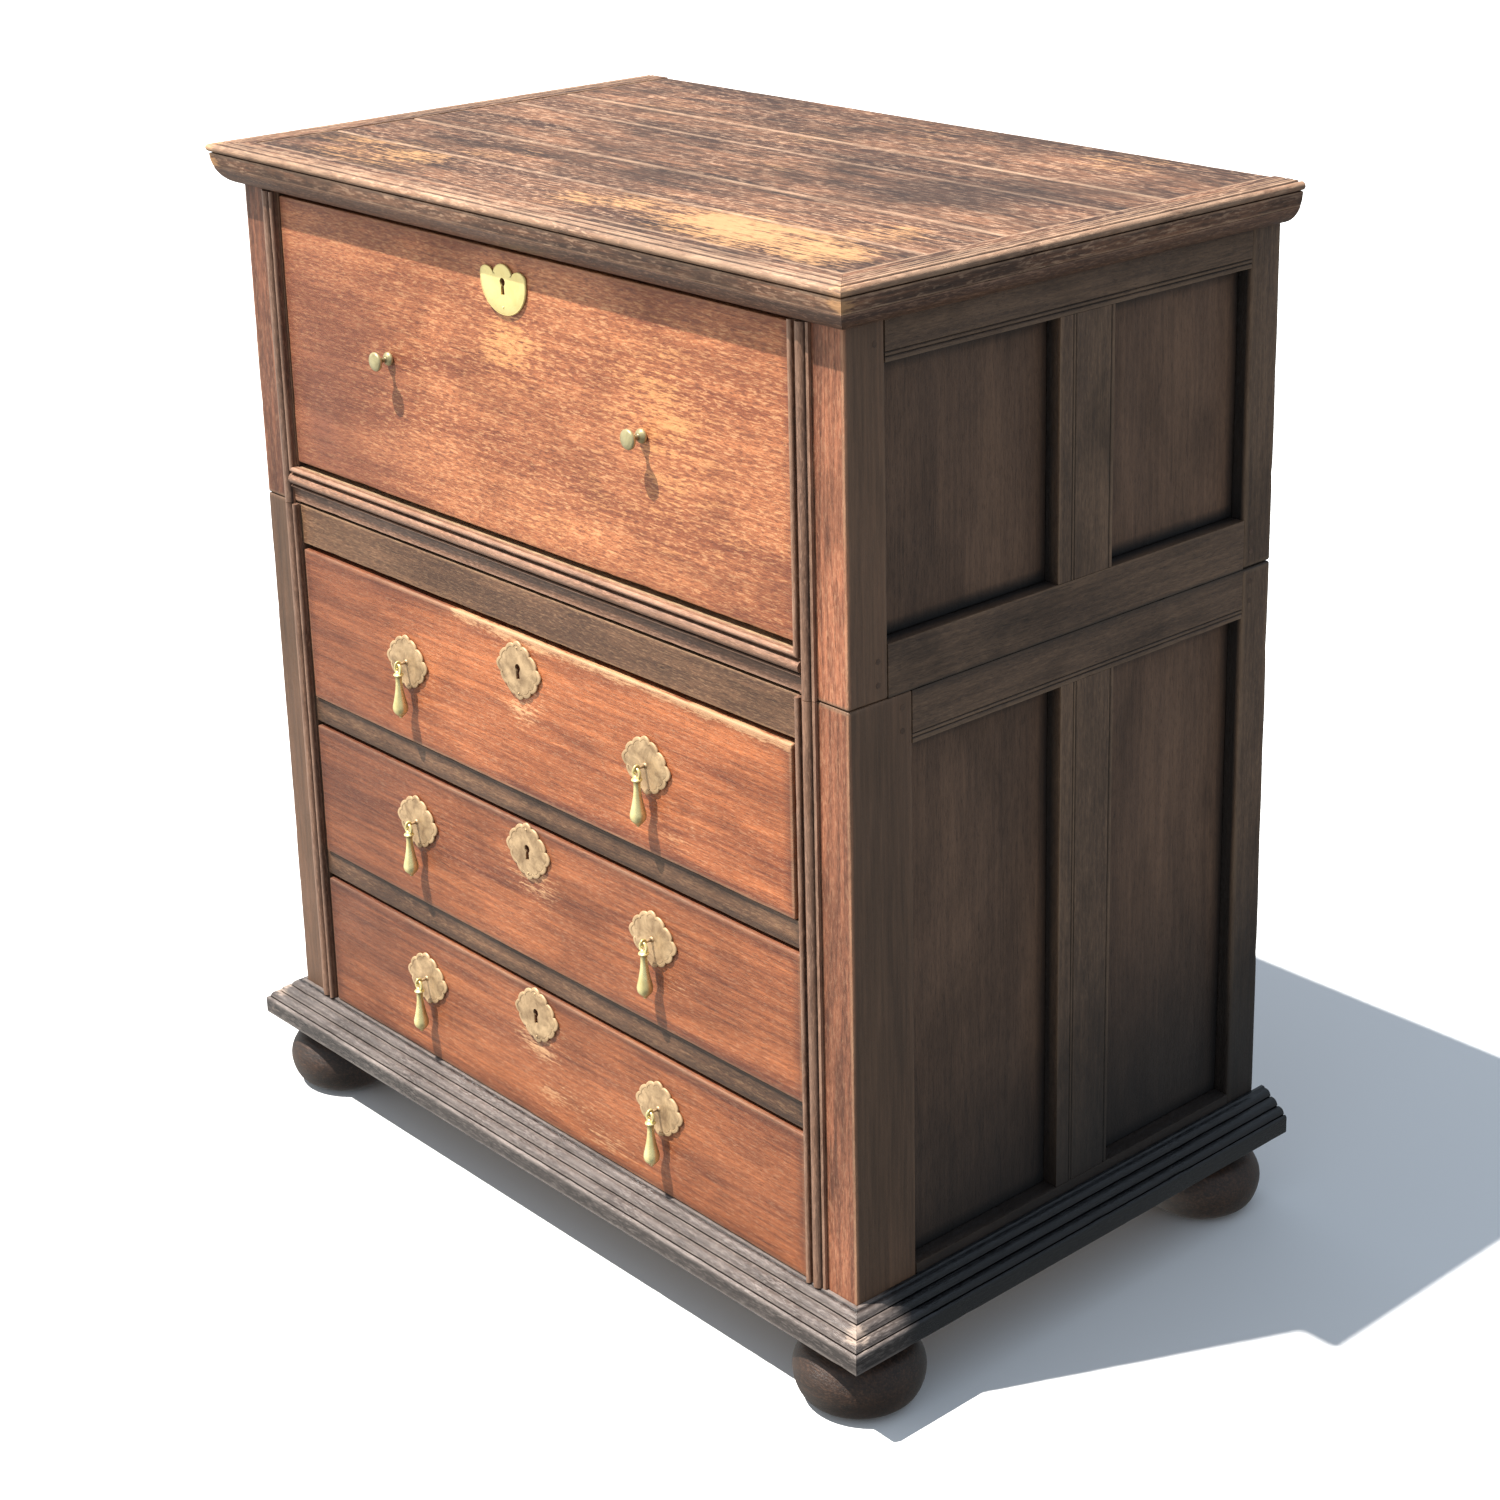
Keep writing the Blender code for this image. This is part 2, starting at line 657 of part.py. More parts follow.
def build_secretary_box():
    """The drawer behind the fall: its bottom board is the back half of the writing surface."""
    low = (-BOX_HALF, FRONT + FALL_THICKNESS + SECRETARY_FRONT_GAP, SILL_TOP)
    high = (BOX_HALF, SECRETARY_BACK, SECRETARY_TOP)
    wall = SECRETARY_WALL
    inside = ((low[0] + wall, low[1] - wall, WRITING_Z),
              (high[0] - wall, high[1] - wall, high[2] + wall))
    under = ((low[0] + wall, low[1] + wall, low[2] - wall),
             (high[0] - wall, high[1] - wall, WRITING_Z - WRITING_BOARD))
    return hollowed("secretary_box", low, high, [inside, under], "inside oak")


def build_pigeonholes():
    """A nest of pigeonholes standing at the back of the writing drawer."""
    wall = PIGEONHOLE_BOARD
    back = SECRETARY_BACK - SECRETARY_WALL - GAP
    low = Vector((-PIGEONHOLE_HALF, back - PIGEONHOLE_DEPTH, WRITING_Z + GAP))
    high = Vector((PIGEONHOLE_HALF, back, SECRETARY_TOP - PIGEONHOLE_TOP_GAP))
    hollows = []
    rows = ((low.z + wall, low.z + SHELF_HEIGHT, LOWER_HOLES),
            (low.z + SHELF_HEIGHT + wall, high.z - wall, UPPER_HOLES))
    for bottom, top, count in rows:
        pitch = (high.x - low.x - wall) / count
        for index in range(count):
            left = low.x + wall + pitch * index
            hollows.append(((left, low.y - wall, bottom),
                            (left + pitch - wall, high.y - wall, top)))
    return hollowed("pigeonholes", low, high, hollows, "inside oak")


def build_fall():
    """The fall front, rounded at its inner bottom edge round the hinge pins."""
    half = FALL_THICKNESS / 2
    rounding = arc((0, 0), half, 0.0, -math.pi / 2, 6)
    rise = FALL_TOP - PIN_Z
    outline = [(-half, -half), (-half, rise), (half, rise)] + rounding
    bm = prism(outline, lambda y, z, x: (x, y, z), -FRONT_HALF, FRONT_HALF)
    fall = make_object("fall_front", bm, "front oak")
    fall.location = (0.0, PIN_Y, PIN_Z)
    notch = 0.0050
    reach = 0.020
    bore = HINGE_PIN_RADIUS + GAP
    bore_end = BOX_HALF - HINGE_PIN_LENGTH - GAP
    for side in (-1, 1):
        xs = sorted((side * (BOX_HALF - GAP), side * (FRONT_HALF + reach)))
        cutter = make_object("cutter", block((xs[0], PIN_Y - notch, PIN_Z - reach),
                                             (xs[1], PIN_Y + reach, PIN_Z + notch)))
        combine(fall, cutter, "DIFFERENCE")
        circle = arc((0, 0), bore, 0, 2 * math.pi, 12)[:-1]
        hole = prism(circle, lambda u, v, x: (x, PIN_Y + u, PIN_Z + v),
                     side * bore_end, side * BOX_HALF)
        combine(fall, make_object("cutter", hole), "DIFFERENCE")
    return fall


def build_hinge(side, word):
    """A flat arm on the drawer's side, with the pin that the fall turns on."""
    inner = BOX_HALF + GAP
    outer = inner + HINGE_ARM_THICKNESS
    end = arc((0, 0), HINGE_ARM_HALF, math.pi / 2, 3 * math.pi / 2, 8)
    outline = end + [(HINGE_ARM_LENGTH, -HINGE_ARM_HALF), (HINGE_ARM_LENGTH, HINGE_ARM_HALF)]
    bm = prism(outline, lambda y, z, x: (x, PIN_Y + y, PIN_Z + z), side * inner, side * outer)
    arm = make_object(f"fall_hinge_{word}", bm, "dull brass")
    circle = arc((0, 0), HINGE_PIN_RADIUS, 0, 2 * math.pi, 12)[:-1]
    pin = prism(circle, lambda u, v, x: (x, PIN_Y + u, PIN_Z + v),
                side * (BOX_HALF - HINGE_PIN_LENGTH), side * (inner + HINGE_ARM_THICKNESS / 2))
    combine(arm, make_object("tool", pin), "UNION")
    return arm


def build_stay(side, word):
    """A quadrant fixed to the fall by a flange, curved round the hinge pins."""
    flange_near = FALL_THICKNESS / 2 + GAP
    flange_far = flange_near + 0.003
    flange_reach = 0.030
    inner = STAY_RADIUS - STAY_HALF_WIDTH
    outer = STAY_RADIUS + STAY_HALF_WIDTH
    outline = [(flange_near, STAY_RADIUS - flange_reach), (flange_far, STAY_RADIUS - flange_reach)]
    outline += arc((0, 0), inner, math.acos(flange_far / inner), STAY_END_ANGLE, 14)
    outline += arc((0, 0), outer, STAY_END_ANGLE, math.acos(flange_far / outer), 14)
    outline += [(flange_far, STAY_RADIUS + flange_reach), (flange_near, STAY_RADIUS + flange_reach)]
    outside = BOX_HALF - SECRETARY_WALL - 0.001
    bm = prism(outline, lambda y, z, x: (x, PIN_Y + y, PIN_Z + z),
               side * (outside - STAY_THICKNESS), side * outside)
    return make_object(f"fall_stay_{word}", bm, "dull brass")


def build_knob(side, word):
    """A small turned knob: rosette, thin stem and mushroom head."""
    height = (FALL_BOTTOM + FALL_TOP) / 2 + KNOB_RISE
    middle = FALL_BRASS_SHIFT + side * KNOB_SPREAD
    profile = [
        (0.0, GAP), (0.0070, GAP), (0.0070, 0.0020), (0.0030, 0.0035), (0.0026, 0.0110),
        (0.0060, 0.0150), (0.0096, 0.0180), (0.0100, 0.0205), (0.0070, 0.0230), (0.0, 0.0240),
    ]
    return turned(f"fall_knob_{word}", profile, 14,
                  lambda u, v, h: (middle + u, FRONT - h, height + v), "bright brass")


def build_secretary():
    slide = pivot("secretary_slide", (0.0, FRONT, PIN_Z))
    hinge = pivot("fall_hinge_axis", (0.0, PIN_Y, PIN_Z), slide)
    for piece in (build_secretary_box(), build_pigeonholes()):
        carry(piece, slide)
    fall = build_fall()
    key_z = FALL_TOP - FALL_KEY_DROP
    outline = shield(0.0355, 0.0315, 0.0185)
    plate = escutcheon("fall_escutcheon", outline, FALL_BRASS_SHIFT, FRONT,
                       key_z - FALL_KEY_OFFSET, key_z, "bright brass")
    carry(fall, hinge)
    carry(plate, hinge)
    for side, word in ((-1, "left"), (1, "right")):
        carry(build_hinge(side, word), slide)
        carry(build_stay(side, word), hinge)
        carry(build_knob(side, word), hinge)


def main():
    clear_scene()
    build_top()
    build_sides()
    build_upper_case()
    build_lower_case()
    build_feet()
    for level in DRAWER_HEIGHTS:
        build_drawer(level)
    build_secretary()


main()
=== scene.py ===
import math
import random

import bmesh
import bpy
from mathutils import Matrix, Vector, noise


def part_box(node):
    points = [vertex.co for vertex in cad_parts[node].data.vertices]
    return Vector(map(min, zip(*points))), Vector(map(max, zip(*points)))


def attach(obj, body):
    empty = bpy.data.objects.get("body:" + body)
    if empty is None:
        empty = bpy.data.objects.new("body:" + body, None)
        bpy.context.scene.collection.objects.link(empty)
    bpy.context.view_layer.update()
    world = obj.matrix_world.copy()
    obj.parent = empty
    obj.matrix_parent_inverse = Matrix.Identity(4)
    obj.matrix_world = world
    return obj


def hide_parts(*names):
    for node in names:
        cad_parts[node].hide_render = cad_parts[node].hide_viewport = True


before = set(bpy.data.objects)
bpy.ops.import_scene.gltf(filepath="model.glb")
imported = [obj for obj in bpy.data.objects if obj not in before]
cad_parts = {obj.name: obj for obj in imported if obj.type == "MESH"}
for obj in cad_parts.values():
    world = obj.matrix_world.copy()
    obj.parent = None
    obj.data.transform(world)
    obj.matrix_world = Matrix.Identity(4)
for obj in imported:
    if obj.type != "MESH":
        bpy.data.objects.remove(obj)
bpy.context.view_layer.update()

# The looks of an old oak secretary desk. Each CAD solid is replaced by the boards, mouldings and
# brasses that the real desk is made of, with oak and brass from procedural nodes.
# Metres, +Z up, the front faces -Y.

dice = random.Random(11)

SIDES = ((-1, "left"), (1, "right"))
LEVELS = ("lower", "middle", "upper")
GAP = 0.0003

# Camera: the photograph's viewing angle
CAMERA_PLACE = Vector((2.120, -1.827, 1.616))
CAMERA_AZIMUTH = math.radians(47.91)
CAMERA_ELEVATION = math.radians(17.81)
CAMERA_ROLL = math.radians(-1.14)
CAMERA_LENS = 68.1
CAMERA_SHIFT = (-0.0336, -0.1556)

# Places read from the frame
TOP_LOW, TOP_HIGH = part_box("top_board")
POST_LOW, POST_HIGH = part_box("lower_side_frame_right")
HALF = POST_HIGH.x
OPENING = POST_LOW.x
FRONT = POST_LOW.y
BACK = POST_HIGH.y
UPPER_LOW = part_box("upper_side_frame_right")[0].z
CASE_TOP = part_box("upper_side_frame_right")[1].z
CASE_LOW = POST_LOW.z
SPLIT = POST_HIGH.z
SILL_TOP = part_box("upper_floor")[1].z + GAP
TOP_OUT = TOP_HIGH.x - HALF


# ---------------------------------------------------------------- materials

def srgb(red, green, blue):
    """Linear colour from display values of 0 to 255."""
    def linear(value):
        share = value / 255
        return share / 12.92 if share <= 0.04045 else ((share + 0.055) / 1.055) ** 2.4
    return (linear(red), linear(green), linear(blue), 1.0)


class Nodes:
    """A node tree, and short calls for the nodes that feed its shader."""

    def __init__(self, tree):
        self.tree = tree

    def node(self, kind, inputs=None, **settings):
        made = self.tree.nodes.new("ShaderNode" + kind)
        for key, value in settings.items():
            setattr(made, key, value)
        for key, value in (inputs or {}).items():
            self.feed(made.inputs[key], value)
        return made

    def feed(self, socket, value):
        if isinstance(value, bpy.types.NodeSocket):
            self.tree.links.new(value, socket)
        else:
            socket.default_value = value

    def attribute(self, name, output="Fac"):
        return self.node("Attribute", attribute_name=name).outputs[output]

    def noise(self, vector, stretch, detail=3.0, rough=0.55, distortion=0.0):
        placed = self.node("Mapping", {"Vector": vector, "Scale": stretch}).outputs[0]
        return self.node("TexNoise", {"Vector": placed, "Scale": 1.0, "Detail": detail,
                                      "Roughness": rough, "Distortion": distortion}).outputs[0]

    def remap(self, value, low, high, new_low=0.0, new_high=1.0):
        return self.node("MapRange", {0: value, 1: low, 2: high, 3: new_low, 4: new_high}).outputs[0]

    def calc(self, operation, first, second=0.0):
        return self.node("Math", {0: first, 1: second}, operation=operation).outputs[0]

    def plus(self, first, second):
        return self.calc("ADD", first, second)

    def times(self, first, second):
        return self.calc("MULTIPLY", first, second)

    def mix(self, amount, first, second):
        return self.node("Mix", {0: amount, 6: first, 7: second}, data_type="RGBA").outputs[2]

    def finish(self, colour, roughness, height, strength, depth):
        bump = self.node("Bump", {"Height": height, "Strength": strength, "Distance": depth})
        surface = self.tree.nodes["Principled BSDF"]
        self.feed(surface.inputs["Base Color"], colour)
        self.feed(surface.inputs["Roughness"], roughness)
        self.feed(surface.inputs["Normal"], bump.outputs[0])


def new_material(name, **inputs):
    """A material, with plain values for inputs of its Principled shader."""
    material = bpy.data.materials.new(name)
    material.use_nodes = True
    for word, value in inputs.items():
        socket = material.node_tree.nodes["Principled BSDF"].inputs[word.replace("_", " ")]
        socket.default_value = value
    return material


POINT_VALUES = ("edge", "soil_and_shade", "bleach", "shade", "tone")
LOOKS = {}


def oak(name, dark, light, worn_and_highlight, grime_and_shade, aged, roughness, figure, flecks, clouds, wear, checks=0.4,
        bare=None, coarse=1.0):
    """Waxed old oak. The grain runs along the first axis of the piece's own grain coordinates.

    The worn colour shows on rubbed edges, and on moulding crests partly as a painted highlight; bare in
    bleached places; the grime colour in hollows, pores and the fine checks along the grain, and in gaps
    and quirks partly as painted shade; aged is painted shade on shaded faces and in recesses, and darker
    old wood in darkened spots. coarse enlarges the flecks.
    """
    colours = (dark, light, worn_and_highlight, grime_and_shade, aged, bare or worn_and_highlight)
    dark, light, worn_and_highlight, grime_and_shade, aged, bare = [srgb(*colour) for colour in colours]
    LOOKS[name] = new_material(f"{name}_oak")
    s = Nodes(LOOKS[name].node_tree)
    grain = s.attribute("grain", "Vector")
    edge, soil_and_shade, bleach, shade, tone = [s.attribute(word) for word in POINT_VALUES]
    streak = s.noise(grain, (9, 230, 230), 4.0, 0.62, 0.2)
    broad = s.noise(grain, (1.6, 18, 18), 3.0, 0.55, 0.7)
    rings = s.calc("SINE", s.times(broad, 70.0))
    fleck = s.noise(grain, (120 / coarse, 560 / coarse, 560 / coarse), 3.0, 0.6, 0.4)
    pores = s.noise(grain, (100, 1400, 1400), 2.0, 0.6)
    cloud = s.noise(grain, (5, 9, 9), 4.0, 0.6, 0.6)
    patch = s.noise(grain, (14, 40, 40), 4.0, 0.65, 0.4)
    both = s.plus(streak, broad)

    colour = s.mix(s.remap(both, 0.78, 1.22), dark, light)
    colour = s.mix(s.times(s.remap(rings, 0.1, 1.0), figure), colour, dark)
    colour = s.mix(s.remap(fleck, 0.52, 0.64, 0.0, flecks), colour, worn_and_highlight)
    colour = s.mix(s.remap(fleck, 0.48, 0.34, 0.0, flecks), colour, grime_and_shade)
    clouded = s.plus(cloud, s.times(patch, 0.6))
    colour = s.mix(s.remap(clouded, 0.72, 1.0, 0.0, clouds), colour, grime_and_shade)

    lines = s.noise(grain, (2.5, 90, 90), 2.0, 0.5, 0.3)
    lines = s.calc("ABSOLUTE", s.calc("SUBTRACT", lines, 0.5))
    check = s.times(s.remap(lines, 0.0, 0.010, checks, 0.0), s.remap(cloud, 0.44, 0.56))
    colour = s.mix(check, colour, grime_and_shade)
    colour = s.mix(s.remap(pores, 0.58, 0.70, 0.0, 0.5), colour, grime_and_shade)

    uneven = s.times(s.plus(s.plus(patch, streak), fleck), 1.4)
    ragged = s.remap(s.plus(bleach, uneven), 2.5, 2.95, 0.0, 0.8)
    colour = s.mix(s.times(s.remap(bleach, 0.0, 0.5), ragged), colour, bare)
    # Edges take the worn colour: wear, and on moulding crests partly a painted highlight.
    colour = s.mix(s.times(edge, s.remap(patch, 0.35, 0.65, 0.35 * wear, wear)), colour, worn_and_highlight)
    # Hollows and darkened board rims take the grime colour: dirt, and painted shade in the gaps round
    # drawers, rails and panels and in moulding quirks.
    colour = s.mix(s.times(soil_and_shade, s.remap(cloud, 0.3, 0.6, 0.75, 1.0)), colour, grime_and_shade)
    # The shade attribute mixes in the aged colour: painted shade on shaded faces, in recesses and towards
    # the floor, and darker old wood in darkened spots.
    old = s.node("HueSaturation", {"Value": s.remap(both, 0.75, 1.25, 0.7, 1.3), "Color": aged})
    colour = s.mix(shade, colour, old.outputs[0])
    value = s.remap(tone, 0.0, 1.0, 0.75, 1.25)
    colour = s.node("HueSaturation", {"Value": value, "Color": colour}).outputs[0]

    gloss = s.remap(s.plus(cloud, s.times(fleck, 0.4)), 0.4, 0.9, roughness - 0.12, roughness + 0.16)
    hollow = s.plus(s.remap(pores, 0.52, 0.70, 0.0, 0.8), check)
    height = s.calc("SUBTRACT", s.plus(streak, s.times(patch, 0.5)), hollow)
    s.finish(colour, gloss, height, 0.5, 0.0006)


def brass(name, clean, aged, dark, roughness, tarnish, metallic, specks):
    """Old brass: clouded colour, dark specks, darker in hollows (patina, and partly painted shade at the
    foot of the plates' rims) and brighter on rubbed edges (wear, and partly a painted highlight on the
    plates' rims).
    """
    clean, aged, dark = srgb(*clean), srgb(*aged), srgb(*dark)
    LOOKS[name] = new_material(f"{name}_brass", Metallic=metallic)
    s = Nodes(LOOKS[name].node_tree)
    place = s.node("TexCoord").outputs["Object"]
    edge, soil_and_shade = s.attribute("edge"), s.attribute("soil_and_shade")
    cloud = s.noise(place, (60, 60, 60), 4.0, 0.6, 0.5)
    fine = s.noise(place, (420, 420, 420), 3.0, 0.6)
    scratch = s.noise(place, (1500, 250, 250), 2.0, 0.5)
    colour = s.mix(s.remap(cloud, 0.35, 0.65, 0.0, tarnish), clean, aged)
    colour = s.mix(s.remap(fine, 0.60, 0.74, 0.0, specks), colour, dark)
    colour = s.mix(s.times(soil_and_shade, 0.8), colour, dark)
    colour = s.mix(s.times(edge, 0.6), colour, clean)
    gloss = s.remap(s.plus(cloud, fine), 0.7, 1.3, roughness - 0.08, roughness + 0.14)
    height = s.plus(s.times(cloud, 1.5), s.times(scratch, 0.2))
    s.finish(colour, gloss, height, 0.3, 0.0003)


# The first two are grime for hollows and board rims, and also painted shade where those rims sit in gaps.
# The third is painted shade on the posts' side faces and the darker old wood of the lower left post. The
# last is painted shade in the side frames' recesses, along their joint and towards the floor.
GRIME_AND_SHADE = (24, 15, 11)
SIDE_GRIME_AND_SHADE = (30, 24, 21)
POST_SHADE_AND_AGE = (104, 80, 61)
PAINTED_SHADE = (12, 13, 15)

# Colours of each oak: dark, light, worn (partly a painted highlight on moulding crests), grime (partly
# painted shade in gaps), aged (painted shade, and darker old wood in darkened spots)
oak("fall", (152, 84, 52), (208, 131, 85), (236, 178, 128), (100, 52, 38), (118, 68, 50),
    roughness=0.50, figure=0.25, flecks=0.6, clouds=0.5, wear=0.5, checks=0.5,
    bare=(236, 168, 108), coarse=1.15)
oak("drawer", (120, 59, 32), (192, 112, 65), (238, 196, 156), (70, 34, 24), (98, 54, 36),
    roughness=0.46, figure=0.3, flecks=0.16, clouds=0.40, wear=0.8, bare=(238, 186, 136))
# The post's aged colour is painted shade on its side faces, and the darker old wood of the lower left
# post.
oak("post", (104, 60, 42), (178, 112, 80), (222, 172, 134), GRIME_AND_SHADE, POST_SHADE_AND_AGE,
    roughness=0.50, figure=0.5, flecks=0.25, clouds=0.45, wear=0.6)
oak("rail", (96, 64, 44), (148, 106, 76), (200, 160, 120), GRIME_AND_SHADE, PAINTED_SHADE,
    roughness=0.50, figure=0.3, flecks=0.30, clouds=0.35, wear=0.5)
# For the sides and panels the aged colour is painted shade in recesses, along the joint and towards the
# floor.
oak("side", (98, 74, 57), (134, 104, 80), (170, 138, 108), SIDE_GRIME_AND_SHADE, PAINTED_SHADE,
    roughness=0.52, figure=0.3, flecks=0.2, clouds=0.45, wear=0.4)
oak("panel", (106, 78, 60), (132, 99, 76), (150, 120, 94), SIDE_GRIME_AND_SHADE, PAINTED_SHADE,
    roughness=0.52, figure=0.3, flecks=0.12, clouds=0.35, wear=0.3)
oak("top", (66, 40, 29), (156, 108, 78), (220, 180, 148), (36, 23, 18), (44, 30, 24),
    roughness=0.58, figure=0.45, flecks=0.5, clouds=0.7, wear=0.6, checks=1.0,
    bare=(208, 156, 106), coarse=1.7)
# On the mouldings the pale worn colour on the crests is partly a painted highlight, and the grime in the
# quirks partly painted shade.
oak("moulding", (78, 50, 37), (136, 94, 68), (226, 178, 148), GRIME_AND_SHADE, PAINTED_SHADE,
    roughness=0.42, figure=0.2, flecks=0.3, clouds=0.30, wear=0.5)
# On the base the pale grey worn colour on the reeds' crests is partly a painted highlight and partly wear,
# the grime in its grooves partly painted shade, and the near-black aged colour painted shade on the base's
# sides.
oak("base", (40, 32, 29), (66, 56, 52), (178, 164, 156), (12, 10, 11), (13, 15, 19),
    roughness=0.27, figure=0.2, flecks=0.25, clouds=0.35, wear=0.5, checks=0.2, bare=(186, 164, 146))
oak("foot", (34, 22, 16), (72, 48, 34), (126, 92, 70), (16, 11, 9), PAINTED_SHADE,
    roughness=0.42, figure=0.5, flecks=0.3, clouds=0.5, wear=0.4)
oak("inside", (132, 100, 70), (176, 142, 104), (206, 178, 140), (70, 48, 34), PAINTED_SHADE,
    roughness=0.66, figure=0.4, flecks=0.3, clouds=0.35, wear=0.3)

# Colours of each brass: clean, aged, dark
brass("bright", (250, 232, 160), (232, 210, 132), (120, 92, 48),
      roughness=0.36, tarnish=0.5, metallic=0.45, specks=0.15)
brass("drop", (250, 238, 176), (206, 186, 124), (74, 54, 30),
      roughness=0.30, tarnish=0.8, metallic=0.6, specks=0.3)
brass("knob", (196, 186, 142), (140, 128, 92), (64, 52, 36),
      roughness=0.36, tarnish=0.8, metallic=0.5, specks=0.3)
brass("plate", (212, 180, 138), (150, 122, 90), (78, 58, 40),
      roughness=0.48, tarnish=1.0, metallic=0.35, specks=0.4)


# ---------------------------------------------------------------- making pieces

GRAIN_ORDER = {0: (0, 2, 1), 1: (1, 2, 0), 2: (2, 1, 0)}


def write_attribute(mesh, name, kind, field, values):
    mesh.attributes.new(name, kind, "POINT").data.foreach_set(field, values)


def ease(value):
    value = min(1.0, max(0.0, value))
    return value * value * (3 - 2 * value)


def shade_at(place, look):
    """Painted shade: on the posts' side faces, on the base moulding's sides, in the side frames' recesses,
    along the joint between the cases, and darker towards the floor.
    """
    # Painted shade in the gap between the upper and the lower case.
    joint = 0.8 * ease((0.0035 - abs(place.z - SPLIT)) / 0.002)
    if look == "post":
        # Painted shade on the post's faces behind its lit front.
        return max(joint, 0.9 * ease((place.y - FRONT - 0.001) / 0.003))
    if look == "base":
        # Painted shade on the base moulding's sides.
        return ease((place.y - FRONT - 0.015) / 0.030)
    if look in ("side", "panel"):
        # Painted shade, darker towards the floor and in the recesses of the side frames.
        low = 0.9 * ease((0.44 + 0.25 * place.y - place.z) / 0.34)
        inside = look == "side" and place.y < BACK - 0.004
        recess = 0.9 * ease((HALF - 0.001 - abs(place.x)) / 0.004) if inside else 0.0
        return max(low, recess, joint)
    return 0.0


def bleach_at(place, look):
    """Bare wood where the front corners of the top and of the base have been knocked."""
    if look not in ("top", "base"):
        return 0.0
    corner = Vector((abs(place.x), place.y))
    knocked = Vector((TOP_HIGH.x - 0.006, TOP_LOW.y + 0.006))
    return 0.8 * math.exp(-((corner - knocked).length / 0.014) ** 2)


def make_piece(name, points, faces, look, body, grain=0, edge=None, soil_and_shade=None, bleach=None,
               shade=None, tone=None, replaces=(), sharp=38):
    """A mesh piece with its grain coordinates and wear, riding on its body."""
    mesh = bpy.data.meshes.new(name)
    mesh.from_pydata(points, [], faces)
    mesh.materials.append(LOOKS[look])
    mesh.shade_smooth()
    mesh.set_sharp_from_angle(angle=math.radians(sharp))
    count = len(points)
    offset = [dice.uniform(0, 30) for _ in range(3)]
    order = GRAIN_ORDER[grain]
    places = [point[order[k]] + offset[k] for point in points for k in range(3)]
    write_attribute(mesh, "grain", "FLOAT_VECTOR", "vector", places)
    own = dice.uniform(0.35, 0.65) if tone is None else tone
    dark = [max(shade_at(point, look), extra) for point, extra in zip(points, shade or [0.0] * count)]
    bare = [max(bleach_at(point, look), extra) for point, extra in zip(points, bleach or [0.0] * count)]
    for word, values in zip(POINT_VALUES, (edge, soil_and_shade, bare, dark, [own] * count)):
        write_attribute(mesh, word, "FLOAT", "value", values or [0.0] * count)
    made = bpy.data.objects.new(name, mesh)
    bpy.context.collection.objects.link(made)
    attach(made, body)
    if replaces:
        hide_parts(*replaces)
    return right_way_out(made)


def stations(size, radius, cell):
    """Places along one side of a board, close together in the rounding at both ends."""
    near = [0.0, 0.3 * radius, radius, 2.5 * radius]
    if size < 6 * radius:
        near = near[:3]
    start = near[-1]
    count = max(1, round((size - 2 * start) / cell))
    inner = [start + (size - 2 * start) * k / count for k in range(count + 1)]
    return near[:-1] + inner + [size - x for x in reversed(near[:-1])]


def worn_radius(place, radius, wear):
    """The rounding at a point: it wanders along the edge, with a chip here and there."""
    slow = noise.noise(place * 14)
    chip = max(0.0, noise.noise(place * 55 + Vector((7, 3, 1))) - 0.28)
    return radius * max(0.25, 1 + wear * (0.7 * slow + 3.0 * chip))


def board(name, low, high, look, body, grain=0, radius=0.0013, cell=0.018, wear=0.6, wave=0.0003,
          rim=0.0, spots=(), darken=None, tone=None, replaces=()):
    """A board with worn, rounded edges and a slightly uneven face.

    rim darkens the outermost few millimetres: grime, and painted shade where the board sits in a gap.
    spots are (centre, reach, amount) of bleached wood, or with a negative amount of darkened wood. darken
    gives more shade at a place.
    """
    low = Vector(low)
    size = Vector(high) - low
    radius = min(radius, min(size) / 2.3)
    lines = [stations(size[axis], radius, cell) for axis in range(3)]
    index, points, edge, soil_and_shade, bleach, shade, faces = {}, [], [], [], [], [], []

    def vertex(key):
        if key in index:
            return index[key]
        flat = Vector([lines[axis][key[axis]] for axis in range(3)])
        place = low + flat
        local = min(worn_radius(place, radius, wear), min(size) / 2.1)
        core = Vector([min(max(flat[axis], local), size[axis] - local) for axis in range(3)])
        way = (flat - core).normalized()
        dent = wave * (0.5 + 0.5 * noise.noise(place * 5))
        depths = sorted(min(flat[axis], size[axis] - flat[axis]) for axis in range(3))
        index[key] = len(points)
        points.append(low + core + way * (local - dent))
        edge.append(min(1.0, wear) if depths[1] <= radius * 1.01 else 0.0)
        soil_and_shade.append(rim if depths[1] <= radius * 2.6 else 0.0)
        pale = sum(amount * math.exp(-((place - centre).length / reach) ** 2)
                   for centre, reach, amount in spots)
        bleach.append(min(1.0, max(0.0, pale)))
        shade.append(min(1.0, max(0.0, -pale, darken(place) if darken else 0.0)))
        return index[key]

    for axis in range(3):
        u, v = (axis + 1) % 3, (axis + 2) % 3
        for end in (0, len(lines[axis]) - 1):
            for i in range(len(lines[u]) - 1):
                for j in range(len(lines[v]) - 1):
                    corners = [(i, j), (i + 1, j), (i + 1, j + 1), (i, j + 1)]
                    if end == 0:
                        corners.reverse()
                    face = []
                    for a, b in corners:
                        key = [0, 0, 0]
                        key[axis], key[u], key[v] = end, a, b
                        face.append(vertex(tuple(key)))
                    faces.append(face)
    return make_piece(name, points, faces, look, body, grain, edge, soil_and_shade, bleach, shade, tone,
                      replaces)


